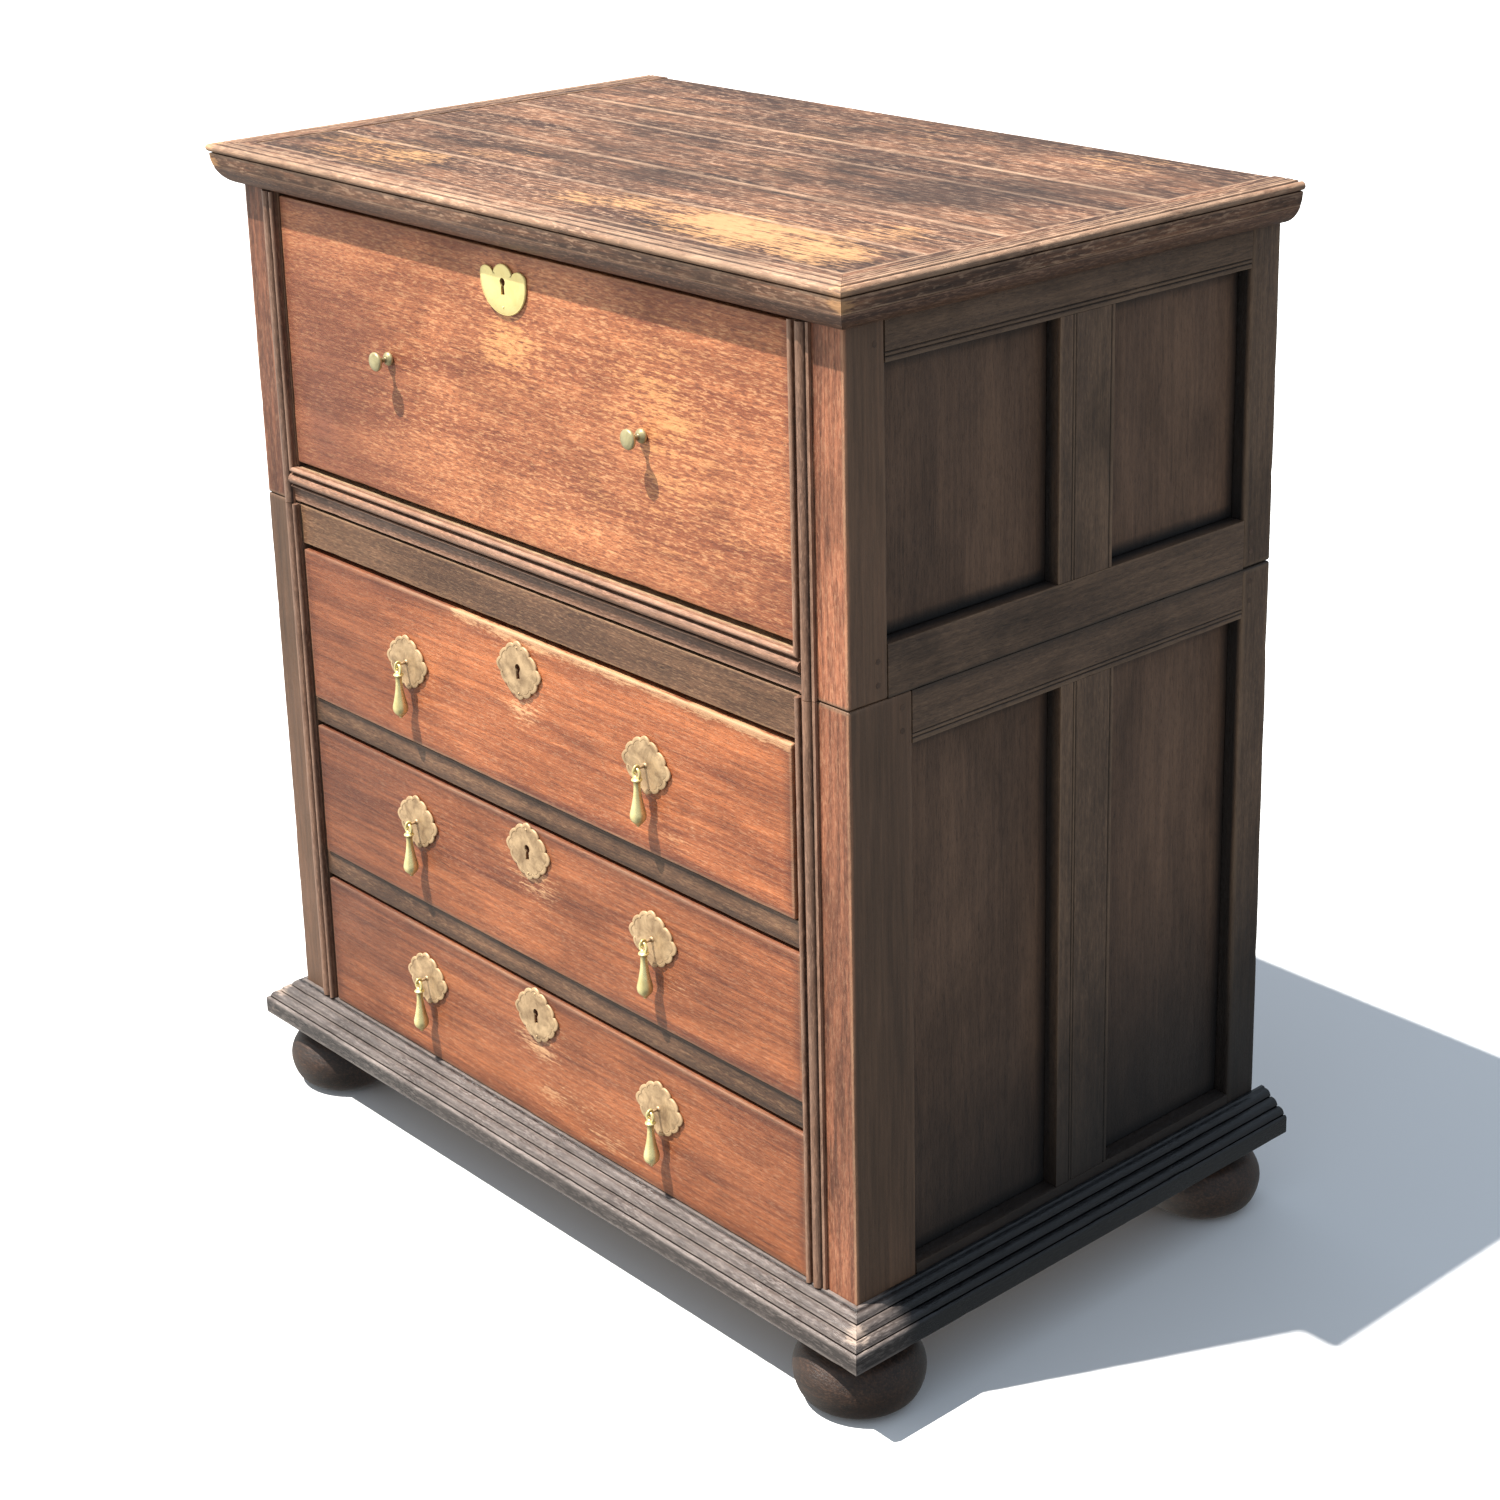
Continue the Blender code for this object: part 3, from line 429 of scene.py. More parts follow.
def bow(centre, radius, start, finish, steps=8):
    """Points of an arc, in degrees."""
    turn = (finish - start) / steps
    angles = [math.radians(start + turn * k) for k in range(steps + 1)]
    return [(centre[0] + radius * math.cos(a), centre[1] + radius * math.sin(a)) for a in angles]


def refine(profile, reach=0.0025, longest=0.012):
    """More points on long straight stretches, so that wear stays near the corners."""
    made = []
    for (u0, v0), (u1, v1) in zip(profile, profile[1:] + profile[:1]):
        length = math.hypot(u1 - u0, v1 - v0)
        made.append((u0, v0))
        if length > 2.5 * reach:
            inner = length - 2 * reach
            count = max(1, round(inner / longest))
            for k in range(count + 1):
                share = (reach + inner * k / count) / length
                made.append((u0 + (u1 - u0) * share, v0 + (v1 - v0) * share))
    return made


def walk(profile, index, step, reach):
    """The point at a distance along a closed profile, forwards or backwards."""
    here = Vector(profile[index])
    left = reach
    while True:
        index = (index + step) % len(profile)
        there = Vector(profile[index])
        length = (there - here).length
        if length >= left:
            return here.lerp(there, left / length)
        left -= length
        here = there


def relief(profile, reach=0.0025, full=0.0009):
    """How far each point stands out (edge: wear, and partly a painted highlight) or lies in a hollow
    (grime, and partly painted shade), from 0 to 1.
    """
    area = sum(u0 * v1 - u1 * v0 for (u0, v0), (u1, v1) in zip(profile, profile[1:] + profile[:1]))
    edge, soil_and_shade = [], []
    for index, point in enumerate(profile):
        before, after = walk(profile, index, -1, reach), walk(profile, index, 1, reach)
        along = (after - before).normalized()
        out = Vector((along.y, -along.x)) * math.copysign(1, area)
        stands = (Vector(point) - (before + after) / 2).dot(out) / full
        edge.append(min(1.0, max(0.0, stands)))
        soil_and_shade.append(min(1.0, max(0.0, -stands)))
    return edge, soil_and_shade


def tube(rings, around, first=0):
    """Faces of a closed solid: quads between rings of points, and a cap at each end."""
    faces = []
    for low in range(first, first + (rings - 1) * around, around):
        for k in range(around):
            after = (k + 1) % around
            faces.append((low + k, low + after, low + around + after, low + around + k))
    last = first + (rings - 1) * around
    return faces + [tuple(reversed(range(first, first + around))), tuple(range(last, last + around))]


def sweep(name, profile, start, finish, look, grain, replaces=(), tone=None):
    """Run a profile along the case from start(u, v) to finish(u, v), with uneven, rubbed corners."""
    cell, uneven = 0.010, 0.00016
    profile = refine(profile)
    edge, soil_and_shade = relief(profile)
    middle = Vector((sum(u for u, _ in profile), sum(v for _, v in profile))) / len(profile)
    length = (Vector(finish(*middle)) - Vector(start(*middle))).length
    count = max(2, round(length / cell))

    def along(u, v, share):
        return Vector(start(u, v)).lerp(Vector(finish(u, v)), share)

    points = []
    for step in range(count + 1):
        for index, (u, v) in enumerate(profile):
            place = along(u, v, step / count)
            slow = 0.5 + 0.5 * noise.noise(place * 11)
            chip = max(0.0, noise.noise(place * 60) - 0.25)
            inward = (middle - Vector((u, v))).normalized()
            shift = inward * uneven * (slow + 6 * edge[index] * chip)
            points.append(along(u + shift.x, v + shift.y, step / count))
    rings = count + 1
    return make_piece(name, points, tube(rings, len(profile)), look, "case", grain, edge * rings,
                      soil_and_shade * rings, tone=tone, replaces=replaces)


def right_way_out(piece):
    """Turn the faces outwards if the mesh came out with its volume negative."""
    bm = bmesh.new()
    bm.from_mesh(piece.data)
    if bm.calc_volume(signed=True) < 0:
        bmesh.ops.reverse_faces(bm, faces=bm.faces)
        bm.to_mesh(piece.data)
    bm.free()
    return piece


def lathe(name, profile, place, look, body, segments=48, grain=2, replaces=()):
    """Turn a profile of (radius, height) pairs, which starts and ends on the axis."""
    profile_edge, profile_soil = relief(profile, 0.0015, 0.0006)
    points, edge, soil_and_shade, faces, starts = [], [], [], [], []
    last = len(profile) - 1
    for index, (radius, height) in enumerate(profile):
        starts.append(len(points))
        count = 1 if index in (0, last) else segments
        for step in range(count):
            angle = 2 * math.pi * step / segments
            points.append(Vector(place(radius * math.cos(angle), radius * math.sin(angle), height)))
        edge += [profile_edge[index]] * count
        soil_and_shade += [profile_soil[index]] * count
    for index, (a, b) in enumerate(zip(starts, starts[1:])):
        for step in range(segments):
            after = (step + 1) % segments
            if index == 0:
                faces.append((a, b + after, b + step))
            elif index + 1 == last:
                faces.append((a + step, a + after, b))
            else:
                faces.append((a + step, a + after, b + after, b + step))
    return make_piece(name, points, faces, look, body, grain, edge, soil_and_shade, replaces=replaces, sharp=50)


def outward(x, face, z):
    """Places for a turned piece whose axis stands out from a face."""
    return lambda u, v, height: (x + u, face - height, z + v)


def upward(x, y, z=0.0):
    """Places for a turned piece whose axis is upright."""
    return lambda u, v, height: (x + u, y + v, z + height)


def mirrored(side, low, high):
    """Corners of a box given for the right side, on either side."""
    if side > 0:
        return low, high
    return (-high[0], low[1], low[2]), (-low[0], high[1], high[2])


def smooth_line(points, steps=6):
    """A Catmull-Rom curve through (radius, height) pairs."""
    padded = [points[0]] + list(points) + [points[-1]]
    made = []
    for p0, p1, p2, p3 in zip(padded, padded[1:], padded[2:], padded[3:]):
        for k in range(steps):
            t = k / steps
            made.append(tuple(0.5 * (2 * b + (c - a) * t + (2 * a - 5 * b + 4 * c - d) * t * t
                                     + (3 * b - a - 3 * c + d) * t ** 3)
                              for a, b, c, d in zip(p0, p1, p2, p3)))
    return made + [tuple(points[-1])]


def cut(piece, outline, place, start, finish):
    """Cut a prism out of a piece."""
    points = [place(u, v, w) for w in (start, finish) for u, v in outline]
    mesh = bpy.data.meshes.new("cutter")
    mesh.from_pydata(points, [], tube(2, len(outline)))
    tool = bpy.data.objects.new("cutter", mesh)
    bpy.context.collection.objects.link(tool)
    right_way_out(tool)
    modifier = piece.modifiers.new("cut", "BOOLEAN")
    modifier.operation = "DIFFERENCE"
    modifier.object = tool
    bpy.context.view_layer.update()
    result = bpy.data.meshes.new_from_object(
        piece.evaluated_get(bpy.context.evaluated_depsgraph_get()))
    piece.modifiers.clear()
    piece.data = result
    bpy.data.objects.remove(tool)


# ---------------------------------------------------------------- top and cornice

STRIP_WIDTH = 0.038
CORNICE_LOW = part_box("cornice_front")[0].z
OVOLO_OVERHANG = 0.0245
OVOLO_HEIGHT = 0.0345
SEAMS = (-0.165, -0.066, 0.074, 0.146)
REEDS = ((0.02, 0.30), (0.34, 0.64), (0.68, 0.96))
REED_BULGE = 0.0021
REED_GROOVE = 0.0024


def ovolo(height):
    """How far the big moulding under the top's edge stands out at a height."""
    share = min(1.0, max(0.0, (height - CORNICE_LOW) / OVOLO_HEIGHT))
    return OVOLO_OVERHANG * math.sqrt(1 - (1 - share) ** 2)


def strip_profile():
    """The border strip in section: a scratched groove, a bead on the edge, then the ovolo's top."""
    outer, low, high = TOP_OUT, TOP_LOW.z, TOP_HIGH.z
    bead = 0.0043
    points = [(outer - STRIP_WIDTH, low), (outer - STRIP_WIDTH, high)]
    for groove in (0.0250, 0.0150):
        points += [(outer - groove, high), (outer - groove + 0.0014, high - 0.0018),
                   (outer - groove + 0.0028, high)]
    points += [(outer - 0.0096, high - 0.0002), (outer - 0.0084, high - 0.0020)]
    points += bow((outer - bead, high - 0.0006 - bead), bead, 115, -75, 12)
    quirk = high - 0.0098
    points += [(OVOLO_OVERHANG - 0.0034, quirk)]
    points += [(ovolo(height), height)
               for height in (quirk - 0.0006 - (quirk - 0.0006 - low) * k / 6 for k in range(7))]
    return points


def along_front(side):
    """A front moulding's end, mitred at the corner, for a profile of (out, height)."""
    return lambda out, height: (side * (HALF + out), FRONT - out, height)


def side_ends(side, back):
    """Both ends of a side moulding: the mitre, just behind the front piece's, and the square end."""
    return (lambda out, height: (side * (HALF + out), FRONT - out + GAP, height),
            lambda out, height: (side * (HALF + out), back, height))


def build_top():
    inner_x = TOP_HIGH.x - STRIP_WIDTH - GAP
    seams = [TOP_LOW.y + STRIP_WIDTH + GAP, *SEAMS, TOP_HIGH.y]
    face = TOP_HIGH.z
    spots = [(Vector((x, y, face)), reach, amount) for x, y, reach, amount in (
        (0.30, -0.215, 0.07, 0.8), (0.20, -0.200, 0.06, 0.75), (0.39, -0.230, 0.05, 0.75),
        (0.10, -0.190, 0.05, 0.6), (0.02, -0.215, 0.05, 0.5), (0.36, -0.115, 0.05, 0.45),
        (-0.20, -0.120, 0.06, 0.35), (0.05, 0.020, 0.05, 0.35), (0.30, 0.230, 0.08, 0.5),
        (0.05, 0.220, 0.07, 0.35), (-0.30, 0.180, 0.06, 0.3), (0.40, 0.060, 0.05, 0.3),
        (-0.36, -0.200, 0.08, 0.5), (-0.25, -0.220, 0.06, 0.5), (-0.05, 0.120, 0.05, 0.4),
        (0.25, 0.030, 0.09, -0.6), (0.36, 0.100, 0.08, -0.6), (0.00, -0.110, 0.06, -0.4),
        (-0.12, 0.010, 0.08, -0.4), (0.10, 0.110, 0.07, -0.4))]
    for number, (near, far) in enumerate(zip(seams, seams[1:])):
        sunk = 0.0004 + 0.0003 * (number % 2)
        board(f"top_board_{number + 1}", (-inner_x, near + GAP, TOP_LOW.z),
              (inner_x, far - GAP, TOP_HIGH.z - sunk), "top", "case", 0, radius=0.0019, cell=0.012,
              wear=1.0, wave=0.0005, rim=0.2, spots=spots, replaces=("top_board",) if number == 0 else ())
    profile = strip_profile()
    sweep("top_strip_front", profile, along_front(-1), along_front(1), "top", 0, tone=0.6)
    for side, word in SIDES:
        start, finish = side_ends(side, TOP_HIGH.y)
        sweep(f"top_strip_{word}", profile, start, finish, "top", 1, tone=0.55)


def cornice_profile(low, high):
    """The lower part of the ovolo, down to the case."""
    steps = 12
    heights = [low + (high - low) * (k / steps) ** 1.6 for k in range(steps + 1)]
    return [(GAP, high)] + [(GAP + ovolo(height), height) for height in heights]


def build_cornice():
    low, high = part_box("cornice_front")
    profile = cornice_profile(low.z, high.z)
    sweep("cornice_run_front", profile, along_front(-1), along_front(1), "moulding", 0, ("cornice_front",))
    for side, word in SIDES:
        start, finish = side_ends(side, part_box(f"cornice_{word}")[1].y)
        sweep(f"cornice_run_{word}", profile, start, finish, "moulding", 1, (f"cornice_{word}",))


def build_base():
    low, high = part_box("base_moulding_front")
    reach = high.x - HALF
    fascia = low.z + 0.0205
    start, end = Vector((0.0045, high.z - 0.001)), Vector((reach - 0.0025, fascia))
    normal = Vector((start.y - end.y, end.x - start.x)).normalized()
    points = [(GAP, low.z), (GAP, high.z), (0.0035, high.z)]
    for first, last in REEDS:
        for k in range(9):
            share = k / 8
            point = start.lerp(end, first + (last - first) * share)
            point += normal * REED_BULGE * math.sin(math.pi * share)
            points.append((point.x, min(point.y, high.z)))
        tip = start.lerp(end, last + 0.015) - normal * REED_GROOVE
        points.append((tip.x, tip.y))
    points += bow((reach - 0.003, fascia - 0.003), 0.003, 80, 0, 5)
    points += bow((reach - 0.002, low.z + 0.002), 0.002, 0, -90, 4)
    sweep("base_run_front", points, along_front(-1), along_front(1), "base", 0, ("base_moulding_front",))
    for side, word in SIDES:
        first, last = side_ends(side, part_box(f"base_moulding_{word}")[1].y)
        sweep(f"base_run_{word}", points, first, last, "base", 1, (f"base_moulding_{word}",))


def build_feet():
    for side, word in SIDES:
        for end in ("front", "back"):
            low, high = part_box(f"foot_{end}_{word}")
            centre = (low + high) / 2
            radius = (high.x - low.x) / 2
            control = [(radius * 0.70, 0.0), (radius * 0.90, 0.010), (radius * 0.995, 0.026),
                       (radius * 0.985, 0.040), (radius * 0.86, 0.054), (radius * 0.70, 0.0605)]
            profile = [(0.0, 0.0), (radius * 0.5, 0.0)] + smooth_line(control, 6)
            profile += [(radius * 0.655, 0.0612), (radius * 0.65, high.z), (0.0, high.z)]
            lathe(f"bun_foot_{end}_{word}", profile, upward(centre.x, centre.y), "foot", "case",
                  segments=64, grain=0, replaces=(f"foot_{end}_{word}",))


# ---------------------------------------------------------------- case sides

FRAME_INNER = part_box("lower_side_panels_right")[0].x
PANEL_FACE = HALF - 0.016
PANEL_BACK = PANEL_FACE - 0.008
GROOVE = 0.0012
MUNTIN_WIDTH = 0.073
BACK_BOARDS = 5
POST_TONE = {"upper right": 0.85, "lower right": 0.45, "upper left": 0.1, "lower left": 0.1}


def scratched(width, depth, grooves):
    """Section of a flat member, width by depth, with small grooves scratched along its face."""
    points = [(0.0, 0.0), (0.0, depth)]
    for place in grooves:
        points += [(place - GROOVE, depth), (place, depth - GROOVE), (place + GROOVE, depth)]
    return points + [(width, depth), (width, 0.0)]


def case_side(level, side, word, low, high, post, muntin_start, rail_low, rail_high):
    """Posts, stiles, rails, muntin and panels of one side of one case."""

    def name(piece):
        return f"{level}_{piece}_{word}"

    def place(height, along=0.0):
        return lambda u, v: (side * (FRAME_INNER + v), along + u, height)

    old = 0.8 if (level, word) == ("lower", "left") else 0.0
    board(name("front_post"), *mirrored(side, (OPENING, FRONT, low), (HALF, FRONT + post, high)), "post",
          "case", 2, radius=0.0018, cell=0.014, wear=0.8, darken=lambda place: old,
          tone=POST_TONE[f"{level} {word}"], replaces=(f"{level}_side_frame_{word}",))
    stile = BACK - 0.042
    board(name("rear_stile"), *mirrored(side, (FRAME_INNER, stile, low), (HALF, BACK, high)), "side",
          "case", 2, radius=0.0025, cell=0.014, wear=0.9)
    thick = HALF - FRAME_INNER
    start, finish = FRONT + post + GAP, stile - GAP
    rails = (("bottom_rail", low, rail_low, ()),
             ("top_rail", high - rail_high, rail_high, (0.0045, 0.0085)))
    for piece, bottom, height, grooves in rails:
        profile = scratched(height, thick, grooves)
        sweep(name(piece), profile, lambda u, v, z=bottom: (side * (FRAME_INNER + v), start, z + u),
              lambda u, v, z=bottom: (side * (FRAME_INNER + v), finish, z + u), "side", 1)
    muntin = FRONT + muntin_start
    bottom, top = low + rail_low + GAP, high - rail_high - GAP
    profile = scratched(MUNTIN_WIDTH, thick - GAP, (0.018, 0.0215, MUNTIN_WIDTH - 0.004))
    sweep(name("muntin"), profile, place(bottom, muntin), place(top, muntin), "side", 2,
          (f"{level}_side_panels_{word}",))
    panels = (("front_panel", start, muntin - GAP), ("rear_panel", muntin + MUNTIN_WIDTH + GAP, finish))
    for piece, near, far in panels:
        corners = mirrored(side, (PANEL_BACK, near, bottom), (PANEL_FACE, far, top))
        # The panel's darkened rim is grime and painted shade of the frame's recess, and the dark band
        # along its foot is painted shade above the bottom rail.
        board(name(piece), *corners, "panel", "case", 2, radius=0.001, cell=0.012, wear=0.3, wave=0.0008,
              rim=0.9, darken=lambda place: 0.9 * ease((bottom + 0.016 - place.z) / 0.012))
    pegs(level, side, word, low + rail_low / 2, high - rail_high / 2, FRONT + post, stile)


def pegs(level, side, word, low, high, front, rear):
    """Oak pegs through the joints, in one piece for each side."""
    sides, radius, deep = 10, 0.0032, 0.004
    points, faces = [], []
    for height in (low, high):
        for y, z in ((front - 0.012, height - 0.010), (front - 0.012, height + 0.012),
                     (rear + 0.011, height - 0.009), (rear + 0.011, height + 0.011)):
            faces += tube(2, sides, len(points))
            for out in (-deep, 0.0):
                for k in range(sides):
                    angle = 2 * math.pi * k / sides + y * 40
                    reach = radius * (0.9 + 0.1 * math.sin(3 * k + z * 90))
                    points.append(Vector((side * (HALF + out), y + reach * math.cos(angle),
                                          z + reach * math.sin(angle))))
    make_piece(f"{level}_pegs_{word}", points, faces, "panel", "case", soil_and_shade=[0.35] * len(points))


def build_sides():
    for side, word in SIDES:
        case_side("upper", side, word, UPPER_LOW, CASE_TOP, post=0.048, muntin_start=0.265,
                  rail_low=0.050, rail_high=0.056)
        case_side("lower", side, word, CASE_LOW, SPLIT, post=0.077, muntin_start=0.270,
                  rail_low=0.053, rail_high=0.050)


def build_backs():
    """Upright boards behind each case, and the boards under the drawers."""
    for node in ("upper_back", "lower_back"):
        low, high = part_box(node)
        pitch = (high.x - low.x) / BACK_BOARDS
        for number in range(BACK_BOARDS):
            left = low.x + pitch * number
            board(f"{node}_board_{number + 1}", (left + GAP, low.y, low.z),
                  (left + pitch - GAP, high.y, high.z), "inside", "case", 2, radius=0.0018, cell=0.03,
                  wear=0.8, wave=0.0006, rim=0.3, replaces=(node,) if number == 0 else ())
    for node in ("upper_floor", "lower_bottom_board"):
        low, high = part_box(node)
        side = OPENING - GAP
        planks(f"{node}_plank", (-side, low.y + GAP, high.z - 0.016), (side, high.y + GAP, high.z), "case",
               gap=2 * GAP, radius=0.0015, cell=0.04, wear=0.5, replaces=(node,))


def planks(name, low, high, body, gap, radius, cell, wear=0.6, replaces=()):
    """A floor of three boards, side by side from front to back, with a gap after each."""
    count = 3
    pitch = (high[1] - low[1]) / count
    for number in range(count):
        near = low[1] + pitch * number
        board(f"{name}_{number + 1}", (low[0], near, low[2]), (high[0], near + pitch - gap, high[2]),
              "inside", body, 0, radius=radius, cell=cell, wear=wear,
              replaces=replaces if number == 0 else ())


# ---------------------------------------------------------------- front mouldings and rails

BEAD_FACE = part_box("upper_front_moulding")[0].y
BEAD_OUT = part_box("upper_front_moulding")[1].x
SMALL_BEAD = 0.0068


def small_bead_profile():
    """Small bead beside the opening, with a quirk; u runs away from the opening, v outwards."""
    proud = FRONT - BEAD_FACE
    radius = SMALL_BEAD / 2 - 0.0006
    return [(0.0, GAP), (0.0, proud - 0.0040)] + bow((radius, proud - 0.0030), radius, 180, 0, 8) + [
        (2 * radius + 0.0004, proud - 0.0048), (SMALL_BEAD, proud - 0.0048), (SMALL_BEAD, GAP)]


def large_bead_profile(width):
    """Half-round between two quirks, then a plain fillet."""
    proud = FRONT - BEAD_FACE
    radius = 0.0056
    centre = 0.0012 + radius
    points = [(0.0, GAP), (0.0, proud - 0.0050), (0.0008, proud - 0.0056)]
    points += bow((centre, proud - radius), radius, 165, 15, 12)
    points += [(centre + radius + 0.0006, proud - 0.0058), (centre + radius + 0.0014, proud - 0.0040)]
    return points + [(width, proud - 0.0045), (width, GAP)]


def upright(side, inner):
    """Placing functions' maker for an upright strip whose profile starts at x = inner."""
    return lambda height, mitre=0.0: (
        lambda u, v: (side * (inner + u), FRONT - v, height + mitre * u))


def build_front_mouldings():
    low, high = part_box("upper_front_moulding")
    inner = OPENING + GAP
    width = BEAD_OUT - inner - SMALL_BEAD - GAP
    small, large = small_bead_profile(), large_bead_profile(width)
    for side, word in SIDES:
        dull = 0.0 if side < 0 else 0.2
        place = upright(side, inner)
        sweep(f"fall_bead_{word}", small, place(SILL_TOP, -1.0), place(high.z), "moulding", 2, tone=dull)
        place = upright(side, inner + SMALL_BEAD + GAP)
        sweep(f"upper_post_bead_{word}", large, place(low.z), place(high.z), "moulding", 2,
              ("upper_front_moulding",) if side < 0 else (), tone=dull)
        bottom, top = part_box(f"lower_bead_{word}")
        sweep(f"lower_post_bead_{word}", large, place(bottom.z), place(top.z), "moulding", 2,
              (f"lower_bead_{word}",), tone=dull)
        place = upright(side, inner)
        sweep(f"lower_drawer_bead_{word}", small, place(bottom.z), place(top.z), "moulding", 2, tone=dull)
    ends = [(lambda u, v, s=side: (s * (inner + u), FRONT - v, SILL_TOP - u)) for side in (-1, 1)]
    sweep("sill_bead", small, ends[0], ends[1], "moulding", 0)
    reach = inner + SMALL_BEAD
    under = SILL_TOP - SMALL_BEAD - GAP
    ends = [(lambda u, v, s=side: (s * reach, FRONT - v, under - u)) for side in (-1, 1)]
    sweep("sill_moulding", sill_profile(under - low.z), ends[0], ends[1], "moulding", 0)


def sill_profile(height):
    """Half-round, quirk, cove and a gap above the rail; u runs downwards, v outwards."""
    proud = FRONT - BEAD_FACE
    radius = 0.0056
    points = [(0.0, GAP), (0.0, proud - 0.0052), (0.0008, proud - 0.0056)]
    points += bow((0.0012 + radius, proud - radius), radius, 165, 15, 12)
    turn = 0.0138
    points += [(turn, proud - 0.0058), (turn + 0.001, proud - 0.0030)]
    cove = 0.0125
    arc = bow((0.0, 0.0), 1.0, 180, 270, 8)
    points += [(turn + 0.002 + cove * (1 + u), proud - 0.0032 + 0.0038 * v) for u, v in arc]
    return points + [(height - 0.0050, 0.0012), (height - 0.0030, 0.0010), (height - 0.0028, GAP)]


def build_rails():
    low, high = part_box("lower_top_rail")
    board("rail_over_drawers", low, high, "rail", "case", 0, radius=0.0012, cell=0.014, wear=0.8, tone=0.4,
          replaces=("lower_top_rail",))
    for word in ("lower", "upper"):
        node = f"drawer_divider_{word}"
        low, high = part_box(node)
        rail_back = FRONT + 0.050
        # The darkened rim on the divider rails is painted shade: the drawers' shadow and the gaps above
        # and below them.
        board(f"rail_{word}", low, (high.x, rail_back - GAP, high.z), "rail", "case", 0, radius=0.0014,
              cell=0.014, wear=0.4, rim=0.7, tone=0.35, replaces=(node,))
        for side, hand in SIDES:
            corners = mirrored(side, (high.x - 0.040, rail_back, low.z), high)
            board(f"runner_{word}_{hand}", *corners, "inside", "case", 1, radius=0.0015, cell=0.03)


# ---------------------------------------------------------------- brasses

PLATE_THICKNESS = 0.0022


def lozenge(half_width, half_height, steps=144):
    """A lozenge edged with round lobes, small at its four tips and wider between them."""
    fullness = 1.5
    points = []
    for step in range(steps):
        angle = 2 * math.pi * step / steps
        across = abs(math.cos(angle) / half_width) ** fullness
        up = abs(math.sin(angle) / half_height) ** fullness
        reach = (across + up) ** (-1 / fullness)
        lobe = 0.91 + 0.09 * abs(math.cos(6 * angle)) ** 0.6
        points.append((reach * lobe * math.cos(angle), reach * lobe * math.sin(angle)))
    return points


def shield(half_width, drop, rise):
    """A round-bottomed shield with one wide and two narrow scallops along its top."""
    points = [(half_width * u, drop * v) for u, v in bow((0, 0), 1.0, 180, 360, 48)]
    wide = 0.42
    narrow = (1 - wide) / 2
    shoulder = 0.36 * rise
    for centre, reach in ((1 - narrow, narrow), (0.0, wide), (narrow - 1, narrow)):
        height = (rise - shoulder) * (reach / wide) ** 1.3
        arc = bow((0, 0), 1.0, 4, 176, 16)
        points += [(half_width * (centre + reach * u), shoulder + height * v) for u, v in arc]
    return points


def plate(name, outline, x, back, z, look, body, engraved=0.86, replaces=()):
    """A thin cast plate: bevelled rim, an engraved line inside it and a slightly hammered face."""
    flat, dip = PLATE_THICKNESS, 0.97 * PLATE_THICKNESS
    # The bright values light the rim's crest, partly a painted highlight; the dull values darken the rim's
    # foot, partly painted shade, and the engraved line.
    rings = ((1.0, GAP, 0.2, 0.8), (1.0, 0.5 * flat, 0.7, 0.3), (0.985, 0.85 * flat, 1.0, 0.0),
             (0.955, flat, 0.9, 0.0), (engraved + 0.015, flat, 0.2, 0.0),
             (engraved, 0.85 * flat, 0.0, 0.5), (engraved - 0.015, dip, 0.1, 0.0),
             (0.55, dip, 0.0, 0.0), (0.2, flat, 0.0, 0.1))
    points, edge, soil_and_shade = [], [], []
    for inset, out, bright, dull in rings:
        points += [Vector((x + inset * u, back - out, z + inset * v)) for u, v in outline]
        edge += [bright] * len(outline)
        soil_and_shade += [dull] * len(outline)
    return make_piece(name, points, tube(len(rings), len(outline)), look, body, 0, edge, soil_and_shade,
                      replaces=replaces, sharp=30)


def keyhole():
    """Round top and a slot that widens a little to its foot."""
    radius, slot, foot, length = 0.0041, 0.0023, 0.0029, 0.0125
    start = -90 + math.degrees(math.asin(slot / radius))
    return [(foot, -length), (slot, -radius)] + bow((0, 0), radius, start, 180 - start, 16)[1:-1] + [
        (-slot, -radius), (-foot, -length)]


def pierce(piece, x, face, z, deep):
    cut(piece, keyhole(), lambda u, v, y: (x + u, y, z + v), face + deep, face - 0.010)


def nail(name, x, face, z, look, body, radius=0.0019):
    """A small domed pin head."""
    profile = [(0.0, 0.0), (radius, 0.0), (radius * 0.95, 0.0004), (radius * 0.7, 0.0009),
               (radius * 0.3, 0.0012), (0.0, 0.00125)]
    lathe(name, profile, outward(x, face, z), look, body, segments=16, grain=0)


def ring(name, centre, radius, wire, plane, look, body):
    """A wire ring; plane is "yz" for an eye or "xz" for a drop's loop."""
    steps, sides = 32, 12
    points, faces = [], []
    for step in range(steps):
        around = 2 * math.pi * step / steps
        a, b = step * sides, ((step + 1) % steps) * sides
        for k in range(sides):
            turn = 2 * math.pi * k / sides
            reach = radius + wire * math.cos(turn)
            u, v, w = reach * math.cos(around), reach * math.sin(around), wire * math.sin(turn)
            points.append(centre + Vector((w, u, v) if plane == "yz" else (u, w, v)))
            after = (k + 1) % sides
            faces.append((a + k, a + after, b + after, b + k))
    make_piece(name, points, faces, look, body)


